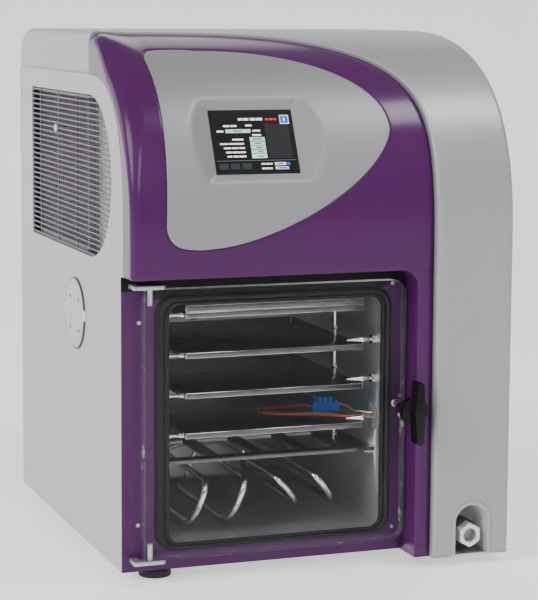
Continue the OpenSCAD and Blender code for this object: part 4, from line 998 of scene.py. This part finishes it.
# ---- Door gasket ----
# One black rubber ring glued to the flange. A broad soft roll meets the door, and a second thinner lip
# turns in round the mouth, with a crease between them.
lip_profile = np.array([  # share from the outer edge to the inner edge, and height off the flange
    (0.0, 0.0), (0.0, 1.6), (0.02, 2.3), (0.06, 2.5), (0.085, 2.9), (0.11, 4.6), (0.17, 6.4), (0.26, 7.4),
    (0.36, 7.65), (0.46, 7.4), (0.55, 6.4), (0.60, 5.2), (0.635, 4.1), (0.66, 4.3), (0.70, 5.5),
    (0.77, 6.4), (0.84, 6.6), (0.91, 6.2), (0.97, 5.0), (1.0, 3.2), (1.0, 0.0), (0.5, 0.0), (0.0, 0.0)])


def round_frame(x0, x1, z0, z1, radius):
    """Rounded rectangle as X and Z: four straight sides joined by quarter circles of one radius."""
    x0, x1, z0, z1 = x0 + radius, x1 - radius, z0 + radius, z1 - radius
    arcs = [np.array(centre) + radius * spots(np.cos(quarter(17) + k * np.pi / 2),
                                              np.sin(quarter(17) + k * np.pi / 2))
            for k, centre in enumerate([(x1, z1), (x0, z1), (x0, z0), (x1, z0)])]
    step = np.linspace(0, 1, 13)[1:-1, None]
    line = np.concatenate([part for k in range(4) for part in
                           (arcs[k], arcs[k][-1] * (1 - step) + arcs[(k + 1) % 4][0] * step)])
    return np.concatenate([line, line[:1]])


ring_out, ring_in = round_frame(51, 435.5, 29, 420, 30), round_frame(74, 418, 40, 404, 17)
inwards = lip_profile[None, :, :1]
ring = ring_out[:, None] * (1 - inwards) + ring_in[:, None] * inwards
seal = moulded("seal rubber", (0.007, 0.0072, 0.007), 0.40, grain=1500.0, depth=0.00005, vary=0.2,
               Specular_IOR_Level=0.22)
piece("door_seal_ring", *grids(spots(ring[..., 0], -lip_profile[:, 1], ring[..., 1])), [seal], "cabinet",
      ["door_gasket"], "black_rubber", sharp=62.0)

# ---- Shelves and top plate ----
# Four hollow shelves and the plate over them are polished stainless. Bright studs in front and behind
# carry them on the left, and ball fittings on the right. Their steel is painted much darker than the studs'
# as painted shade in the chamber, and their bevelled edges take the bright steel as a painted highlight.
polish = Paint("shelf steel", Metallic=1.0)
shelf_grain = polish.noise(1400.0, stretch=(0.02, 1, 1))
shelf_haze = polish.noise(18.0, detail=3.0)
shelf_steel = polish.feed(
    Base_Color=polish.blend(shelf_haze, tone(0.10, 0.10, 0.099), tone(0.16, 0.16, 0.157)),
    Roughness=shelf_grain * 0.14 + shelf_haze * 0.10 + 0.17,
    Normal=polish.relief(shelf_grain, 0.10, 0.00003))
even = (1, 1, 1)
bright_steel = metal("polished steel", (0.66, 0.66, 0.67), (0.80, 0.80, 0.80), marks=(60.0, even, 3.0),
                     roughness=(0.09, 0.10), relief=(0.08, 0.00003), grain=800.0, Metallic=1.0)
shelves = [(f"shelf_{number}", f"heated_shelf_{number}") for number in (1, 2, 3, 4)]
for node, name in shelves + [("top_plate", "stoppering_plate")]:
    # Slanting bevel faces take the bright steel: a painted highlight along the shelves' edges.
    remade(node, name, shelf_steel, edge=0.9, second=(shelf_steel, bright_steel),
           where=lambda x, y, z: (x < 107.5) | (x > 397.5) | (y < 20.5) | (y > 329.5))
remade("shelf_studs", "shelf_support_studs", bright_steel)
remade("shelf_fittings", "fluid_fittings", bright_steel)
remade("stay_rods", "frame_stay_rods", bright_steel)
remade("stay_nuts", "frame_stay_nuts", bright_steel, edge=0.3)
remade("baffle_frame", "condenser_baffle", shelf_steel, edge=0.5)

# ---- Condenser coil ----
# One long bent tube of polished stainless. It goes in at the back, makes four hanging loops below the
# baffle and comes back out at the back.
coil_top, coil_foot, coil_rear, tube_r = 122, 50, 402, 4.75
front_turn, foot_turn = np.radians(np.arange(0, 91, 22.5)), np.radians(np.arange(15, 91, 15))
loop_y, loop_z = np.concatenate([
    [[296, coil_top], [118, coil_top]],
    spots(58 - 20 * np.sin(front_turn), coil_top - 20 + 20 * np.cos(front_turn)),
    spots(90 - 52 * np.cos(foot_turn), coil_foot + 52 - 52 * np.sin(foot_turn)),
    [[150, coil_foot], [296, coil_foot]]]).T
fallen = (coil_top - loop_z) / (coil_top - coil_foot)
hangs = [(148, 126, 50), (212, 188, 50), (259, 306, 70), (323, 366, 70)]  # X above, X and height below
crossing = [(0.1, 320, 0), (0.32, 340, 0.2), (0.6, 340, 0.8), (0.9, 320, 1)]  # share over, Y, share up
coil_route = [[148, coil_rear, coil_top]]
for number, (top_x, foot_x, foot_z) in enumerate(hangs, 1):
    loop = spots(top_x + (foot_x - top_x) * fallen, loop_y, coil_top - (coil_top - foot_z) * fallen)
    coil_route += loop.tolist()
    if number < len(hangs):
        coil_route += [[foot_x + (hangs[number][0] - foot_x) * over, y, foot_z + (coil_top - foot_z) * up]
                       for over, y, up in crossing]
coil_route += [[356, 345, 62], [340, coil_rear, coil_foot]]


def swept(line, radius, sides=18):
    """Round tube: circles stand square to the line, each turned on from the last without twist,
    and its two ends are closed by rings that shrink to a point."""
    step = unit(np.gradient(line, axis=0))
    first = np.cross(step[0], [0.0, 0.0, 1.0] if abs(step[0][2]) < 0.9 else [1.0, 0.0, 0.0])
    across = [unit(first)]
    for direction in step[1:]:
        across.append(unit(across[-1] - direction * (across[-1] @ direction)))
    across = np.array(across)
    beside = np.cross(step, across)
    a = np.linspace(0, 2 * np.pi, sides + 1)[None, :, None]
    rings = line[:, None] + radius * (across[:, None] * np.cos(a) + beside[:, None] * np.sin(a))
    ends = [np.broadcast_to(line[i], (1, sides + 1, 3)) for i in (0, -1)]
    return np.concatenate([ends[0], rings, ends[1]])


piece("condenser_coil_tube", *grids(swept(eased_route(coil_route, 7), tube_r)), [bright_steel], "cabinet",
      ["condenser_coil"], "polished_steel")

# ---- Probe port ----
# A smoked nylon disc closes the port in the chamber's right wall. It is pressed into the wall, and the
# leads come through it.
smoked_nylon = moulded("smoked nylon", (0.16, 0.16, 0.155), 0.35, grain=600.0, vary=0.12)
remade("probe_port", "probe_port_disc", smoked_nylon, edge=0.6,
       where=lambda x, y, z: x < 416.5)

# ---- Hinges ----
# Two arms of bright steel plate are screwed to the surround. A white nylon pin in each of them runs in
# a hole drilled in the door's corner.
arm_finish = metal("hinge arm steel", (0.34, 0.34, 0.34), (0.58, 0.58, 0.58), marks=(120.0, even, 3.0),
                   roughness=(0.25, 0.15), relief=(0.15, 0.00004), grain=900.0, Metallic=0.75)
remade("hinge_arms", "hinge_arm_plates", arm_finish, edge=0.5)
remade("hinge_pins", "hinge_pin_rods", white_nylon, edge=0.4)

# ---- Door ----
# A sawn and polished sheet of clear cast acrylic, 19 mm thick. Its faces are clear and its edges show the
# saw's fine chatter, with painted glints in random patches; the top edge glows with a painted highlight.
clear = Paint("clear acrylic", Alpha=0.03, Specular_IOR_Level=0.4)
smear = clear.noise(7.0, detail=3.0)
clear_acrylic = clear.feed(
    Base_Color=clear.blend(smear, tone(0.16, 0.18, 0.19), tone(0.24, 0.26, 0.27)),
    Roughness=smear * 0.03 + 0.02)
# Painted light on the edges: random bright patches are painted glints, and the top edge glows with a painted
# highlight, brighter towards the right.
edges = Paint("acrylic edge", Alpha=0.50, Emission_Strength=0.7)
chatter = edges.noise(160.0, stretch=(0.25, 0.25, 1), detail=3.0)
patch = edges.noise(26.0, detail=2.0)
top_edge = edges.step(2, 429, 431)
top_painted_glow = edges.blend(edges.step(0, 120, 420) * 0.6 + patch * 0.4, grey(0.20),
                       tone(0.98, 0.97, 0.98))
sawn_painted_glints = edges.blend(edges.between(patch, 0.58, 0.68) * chatter, tone(0.10, 0.10, 0.11),
                        tone(0.80, 0.79, 0.82))
acrylic_edge = edges.feed(
    Base_Color=edges.blend(top_edge, sawn_painted_glints, top_painted_glow),
    Emission_Color=edges.blend(top_edge, grey(0), top_painted_glow),
    Roughness=chatter * 0.3 + 0.12, Normal=edges.relief(chatter, 0.4, 0.0003))
# Painted glints in random patches on the bevelled arrises.
arris = Paint("acrylic arris", Alpha=0.45)
glint = arris.between(arris.noise(30.0, detail=2.0), 0.40, 0.60)
acrylic_arris = arris.feed(
    Base_Color=arris.blend(glint, tone(0.10, 0.09, 0.11), tone(0.90, 0.90, 0.92)),
    Roughness=glint * 0.2 + 0.1)
remade("door_pane", "clear_door", clear_acrylic, edge=1.0,
       second=(acrylic_edge, acrylic_arris),
       where=lambda x, y, z: (x < 34) | (x > 425) | (z < 24) | (z > 430))

# ---- Latch ----
# A black moulded wing turns on a steel spindle that goes through the door. In a quarter turn its tip
# draws up behind the keeper. Two zinc plated screws are set in the door above and below it.
black_moulding = moulded("black moulding", (0.003, 0.003, 0.0033), 0.42, grain=900.0, depth=0.00008,
                         vary=0.2, Specular_IOR_Level=0.22)
remade("latch_knob", "latch_wing", black_moulding, edge=1.6,
       where=lambda x, y, z: y < -70)
remade("latch_spindle", "latch_spindle_rod", bright_steel, edge=0.5)
coat(["latch_screws"], screw_zinc)

# ---- Drain fitting ----
# An arched recess moulded into the column's foot holds the drain: a grey rubber hose tail with ribs
# and, screwed on in front, a bright cast hexagonal nut whose bore is rougher and painted darker, a painted
# shade.
drain_z, tail_r, bore_r, hex_half = 30.0, 16.0, 10.6, 17.3
turn_a = np.radians(np.arange(0, 361, 6.0))[:, None]
# Painted light inside the recess: behind its front edge the silver is painted lighter, against the recess's
# shade.
pocket = Paint("pocket silver", Specular_IOR_Level=0.3)
pocket_grain = pocket.noise(1500.0)
pocket_silver = pocket.feed(
    Base_Color=pocket.blend(pocket.step(1, -67, -61), tone(0.40, 0.40, 0.405), grey(0.56)),
    Roughness=pocket_grain * 0.1 + 0.42, Normal=pocket.relief(pocket_grain, 0.25, 0.00006))
remade("drain_pocket", "drain_recess_arch", pocket_silver, edge=0.8,
       where=lambda x, y, z: y < -68)
grey_rubber = moulded("grey hose tail", (0.02, 0.02, 0.021), 0.45, grain=900.0, vary=0.2)


def turned(r, y):
    """Surface of revolution about the drain's axis, from a profile of radius and Y."""
    return spots(arch_x + r * np.cos(turn_a), y, drain_z + r * np.sin(turn_a))


rib = [(tail_r, -2.3), (20, -2), (21, -1.2), (21, 1.2), (20, 2), (tail_r, 2.3)]
ribs = [(r, rib_mid + y) for rib_mid in (-46, -38, -30, -22) for r, y in rib]
tail = np.array([(bore_r, -50), (tail_r, -50), *ribs, (tail_r, -17.2), (12.8, -17.2), (12.8, 10),
                 (bore_r, 10), (bore_r, -50)])
piece("drain_hose_tail", *grids(turned(*tail.T)), [grey_rubber], "cabinet", ["drain_collar"], "grey_rubber")
hex_r = hex_half / np.cos((turn_a + np.pi / 6) % (np.pi / 3) - np.pi / 6)
bore_and_face = 0 * hex_r + [0, 9.8, 10.5, 10.5, 11.2, 12.4, 16.6]
nut_r = np.concatenate([bore_and_face, np.minimum(hex_r, 18.6), hex_r, hex_r, 0 * hex_r], 1)
nut_y = np.array([-53, -53, -53.8, -64.5, -66.4, -67, -67, -66, -64.2, -50, -50])
nut_finish = metal("cast nut steel", (0.62, 0.62, 0.62), (0.88, 0.88, 0.88), marks=(220.0, even, 3.0),
                   roughness=(0.24, 0.15), relief=(0.2, 0.0001), Metallic=0.6)
# Painted shade in the bore: its faces take a darker, rougher grey than the nut.
bore_painted_shade = moulded("bore painted shade", (0.36, 0.36, 0.36), 0.45, grain=500.0, vary=0.3, Metallic=0.3)
piece("drain_hex_nut", *grids(turned(nut_r, nut_y)), [nut_finish, bore_painted_shade], "cabinet", ["drain_nut"],
      "polished_steel", faces_of=np.tile(np.arange(10) < 3, 60), sharp=25.0)

# ---- Cooling machinery ----
# Behind the vent a finned condenser stands in front of its fan. The compressor and the fluid pump
# sit on the base pan, and the electronics box on the deck.
fin_metal = metal("aluminium fins", (0.24, 0.20, 0.25), (0.42, 0.37, 0.43), marks=(500.0, (1, 0.05, 1)),
                  roughness=(0.3, 0.2), relief=(0.2, 0.00005), Metallic=0.4)
black_paint = moulded("black paint", (0.015, 0.015, 0.016), 0.34, grain=350.0, depth=0.00015, vary=0.3)
coat(["air_condenser"], fin_metal)
coat(["compressor"], black_paint)
coat(["circulation_pump"], bright_steel)
coat(["electronics_box"], powder_grey)
coat(["fan_motor", "fan_rotor", "display_module"], black_moulding)

# ---- Rear connections ----
# The steel vacuum pipe ends in a clamp flange. Beside it are the mains inlet and the rocker switch,
# black mouldings set into the rear sheet.
rocker_red = moulded("red rocker", (0.45, 0.014, 0.012), 0.30, grain=600.0, vary=0.1)
remade("vacuum_port", "vacuum_pipe", bright_steel, edge=0.5)
remade("power_inlet", "mains_inlet", black_moulding, edge=0.5)
remade("switch_housing", "switch_frame", black_moulding, edge=0.5)
remade("mains_rocker", "switch_rocker", rocker_red, edge=0.5)

# ---- Floor and light ----
# A wide pale floor carries the machine, and far behind it bends up into a backdrop. One large soft
# light stands high at the front left, and weaker ones fill the right and draw the left edges. A tall
# narrow one draws the long highlight on the gloss moulding.
foot_level = (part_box("leveling_feet")[0][2] - corner[2]) * 1000
floor_r = 1000 * np.array([0.0, 2.0, 6.0, 14.0, 40.0])[:, None]
floor_a = np.linspace(0, 2 * np.pi, 65)
floor_disc = spots(305 + floor_r * np.cos(floor_a), 280 + floor_r * np.sin(floor_a), foot_level - 0.2)
bend_r, bend_start, wall_half, wall_top = 3000.0, 9000.0, 22000.0, 9000.0
bend_a = quarter(13)
bend_y = np.r_[7000, bend_start + bend_r * np.sin(bend_a), bend_start + bend_r]
bend_z = np.r_[0, bend_r * (1 - np.cos(bend_a)), wall_top] + foot_level
floor_paint = moulded("pale floor", (0.92, 0.92, 0.92), 0.62, grain=300.0, vary=0.01,
                      Emission_Color=(1.0, 1.0, 1.0, 1.0), Emission_Strength=0.55)
piece("floor_sheet", *grids(floor_disc), [floor_paint], "cabinet")
backdrop = spots(np.linspace(-wall_half, wall_half, 9)[:, None], bend_y, bend_z)
piece("backdrop_sheet", *grids(backdrop), [floor_paint], "cabinet")


def aimed(name, lamp, place, towards):
    """Stands a light at a place, in cabinet millimetres: its -Z axis points at the aim and its Y axis
    stays up."""
    back = unit(np.subtract(place, towards))
    side = unit(np.cross([0.0, 0.0, 1.0], back))
    stand(name, lamp, side, np.cross(back, side), back, place)


def soft_light(name, place, towards, width, height, watts):
    """A rectangle of light, its sides in metres."""
    lamp = bpy.data.lights.new(name, "AREA")
    lamp.shape = "RECTANGLE"
    lamp.size, lamp.size_y = width, height
    lamp.energy = watts
    aimed(name, lamp, place, towards)


soft_light("key_light", (-1900, -2300, 2700), (250, 150, 400), 2.0, 2.0, 8)
soft_light("fill_light", (2600, -2200, 1500), (350, 100, 400), 1.6, 2.4, 5)
soft_light("strip_light", (200, -2750, 2050), (20, -40, 620), 0.8, 1.5, 24)
soft_light("overhead_light", (1640, -930, 3130), (560, 0, 700), 1.1, 0.7, 45)
soft_light("rear_light", (-2700, 2400, 1700), (300, 400, 500), 2.0, 1.4, 14)
soft_light("edge_light", (-950, 3000, 800), (0, 100, 500), 1.4, 1.8, 7)
daylight = bpy.data.lights.new("daylight", "SUN")
daylight.energy = 2.35
daylight.angle = math.radians(35)
aimed("daylight", daylight, (-8400, -2000, 5000), (0, 0, 0))
world = bpy.data.worlds.new("pale_room")
world.use_nodes = True
world.node_tree.nodes["Background"].inputs["Color"].default_value = (0.93, 0.95, 1.0, 1.0)
world.node_tree.nodes["Background"].inputs["Strength"].default_value = 0.29
bpy.context.scene.world = world
